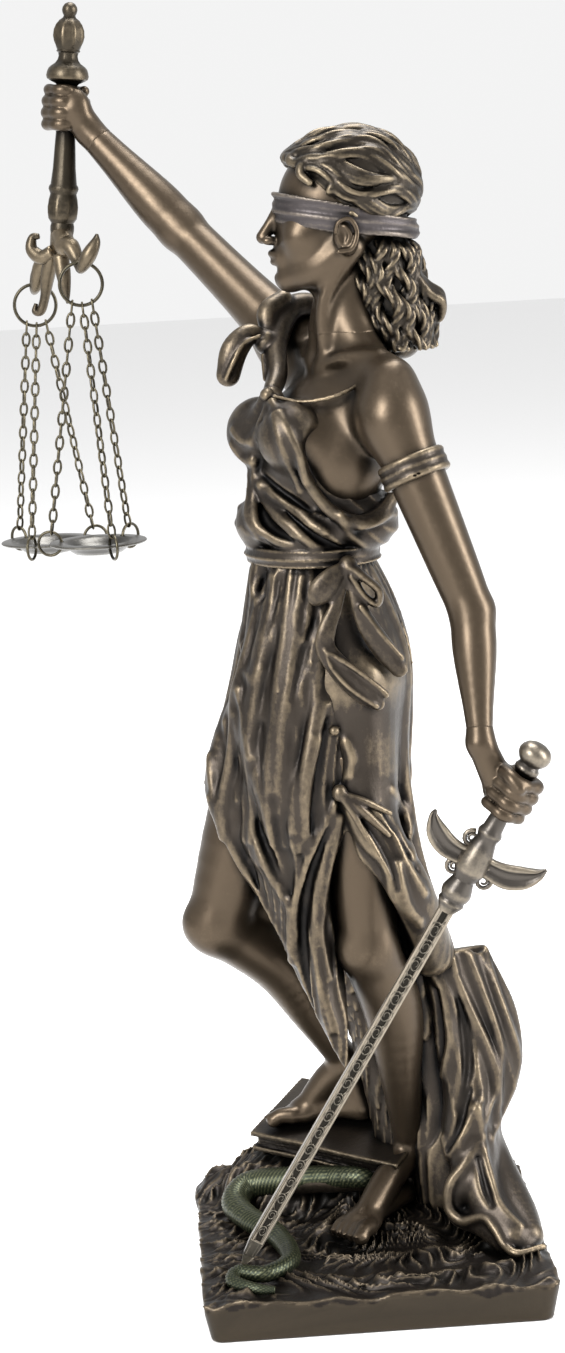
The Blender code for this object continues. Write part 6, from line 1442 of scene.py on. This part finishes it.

# The patina of the casting, with painted shade. What stands out is rubbed bright, and what lies deep is painted dark,
# as patina and as the
# shade that falls in its hollows: each point of the casting's meshes is given how rubbed and how open it is, and the
# materials read that.


def smooth_points(points, edges, rounds):
    """Each point moved halfway to the middle of its neighbours, some rounds over."""
    count = np.bincount(edges.ravel(), minlength=len(points))[:, None]
    for _ in range(rounds):
        total = np.zeros_like(points)
        for axis in range(3):
            total[:, axis] = np.bincount(edges[:, 0], points[edges[:, 1], axis], len(points))
            total[:, axis] += np.bincount(edges[:, 1], points[edges[:, 0], axis], len(points))
        points = 0.5 * points + 0.5 * total / np.maximum(count, 1)
    return points


def give_patina_and_painted_shade(piece, force=1.0):
    mesh = piece.data
    points = np.empty(len(mesh.vertices) * 3, np.float32)
    mesh.vertices.foreach_get("co", points)
    points = points.reshape(-1, 3).astype(float) / MM
    normals = np.empty(len(mesh.vertices) * 3, np.float32)
    mesh.vertices.foreach_get("normal", normals)
    normals = normals.reshape(-1, 3)
    edges = np.empty(len(mesh.edges) * 2, np.int32)
    mesh.edges.foreach_get("vertices", edges)
    edges = edges.reshape(-1, 2)
    bulge = 0
    base = points
    for rounds, weight in ((3, 6.0), (12, 1.6)):
        moved = smooth_points(base, edges, rounds)
        bulge = bulge + force * weight * np.einsum("ij,ij->i", points - moved, normals)
    # How open each point is, sampled from the coarse casting: what is less open gets painted shade as well as darker
    # patina
    openness = 0
    for reach in (1.2, 2.6, 5.0):
        openness = openness + np.clip(casting.sample(points + normals * reach) / reach, 0, 1) / 3
    rubbed = np.clip(bulge, -1, 1) * (0.35 + 0.65 * openness)
    # Painted shade: deep and hollow places are darkened as if less light reached them, together with their darker
    # patina
    shade = np.clip(openness * 1.25 - 0.15 + 0.35 * np.clip(bulge, -1, 0.3), 0, 1)
    for name, value in (("rubbed", rubbed), ("patina_and_painted_shade", shade)):
        attribute = mesh.attributes.new(name, "FLOAT", "POINT")
        attribute.data.foreach_set("value", value.astype(np.float32))


for piece in cast_pieces:
    give_patina_and_painted_shade(piece, 0.25 if piece.data.materials[0] == SKIN else 1.0)
for piece in metal_pieces:
    give_patina_and_painted_shade(piece, 0.18)

# A plain pale floor, and soft studio light from large panels at the front, the right and above.
floor_mesh = bpy.data.meshes.new("floor")
FLOOR = 4.0
floor_mesh.from_pydata([(-FLOOR, -FLOOR, 0), (FLOOR, -FLOOR, 0), (FLOOR, FLOOR, 0), (-FLOOR, FLOOR, 0)], [], [(0, 1, 2, 3)])
floor = bpy.data.objects.new("floor", floor_mesh)
bpy.context.scene.collection.objects.link(floor)
pale = bpy.data.materials.new("pale floor")
pale.use_nodes = True
pale.node_tree.nodes["Principled BSDF"].inputs["Base Color"].default_value = (0.86, 0.86, 0.86, 1)
pale.node_tree.nodes["Principled BSDF"].inputs["Roughness"].default_value = 0.9
floor_mesh.materials.append(pale)

world = bpy.data.worlds.new("studio")
bpy.context.scene.world = world
world.use_nodes = True
world.node_tree.nodes["Background"].inputs["Color"].default_value = (1, 1, 1, 1)
world.node_tree.nodes["Background"].inputs["Strength"].default_value = 0.9


def panel(name, place, aim, wide, high, power):
    light = bpy.data.lights.new(name, "AREA")
    light.shape, light.size, light.size_y, light.energy = "RECTANGLE", wide, high, power
    lamp = bpy.data.objects.new(name, light)
    bpy.context.scene.collection.objects.link(lamp)
    lamp.location = place
    lamp.rotation_euler = (Vector(aim) - Vector(place)).to_track_quat("-Z", "Y").to_euler()
    return lamp


panel("key light", (-0.75, -0.85, 0.75), (0, 0, 0.17), 0.40, 0.8, 28)
panel("right light", (0.95, -0.35, 0.45), (0, 0, 0.15), 0.22, 0.8, 18)
panel("top light", (0.1, 0.25, 1.1), (0, 0, 0.15), 0.5, 0.5, 16)

view = bpy.context.scene.view_settings
view.view_transform = "Standard"
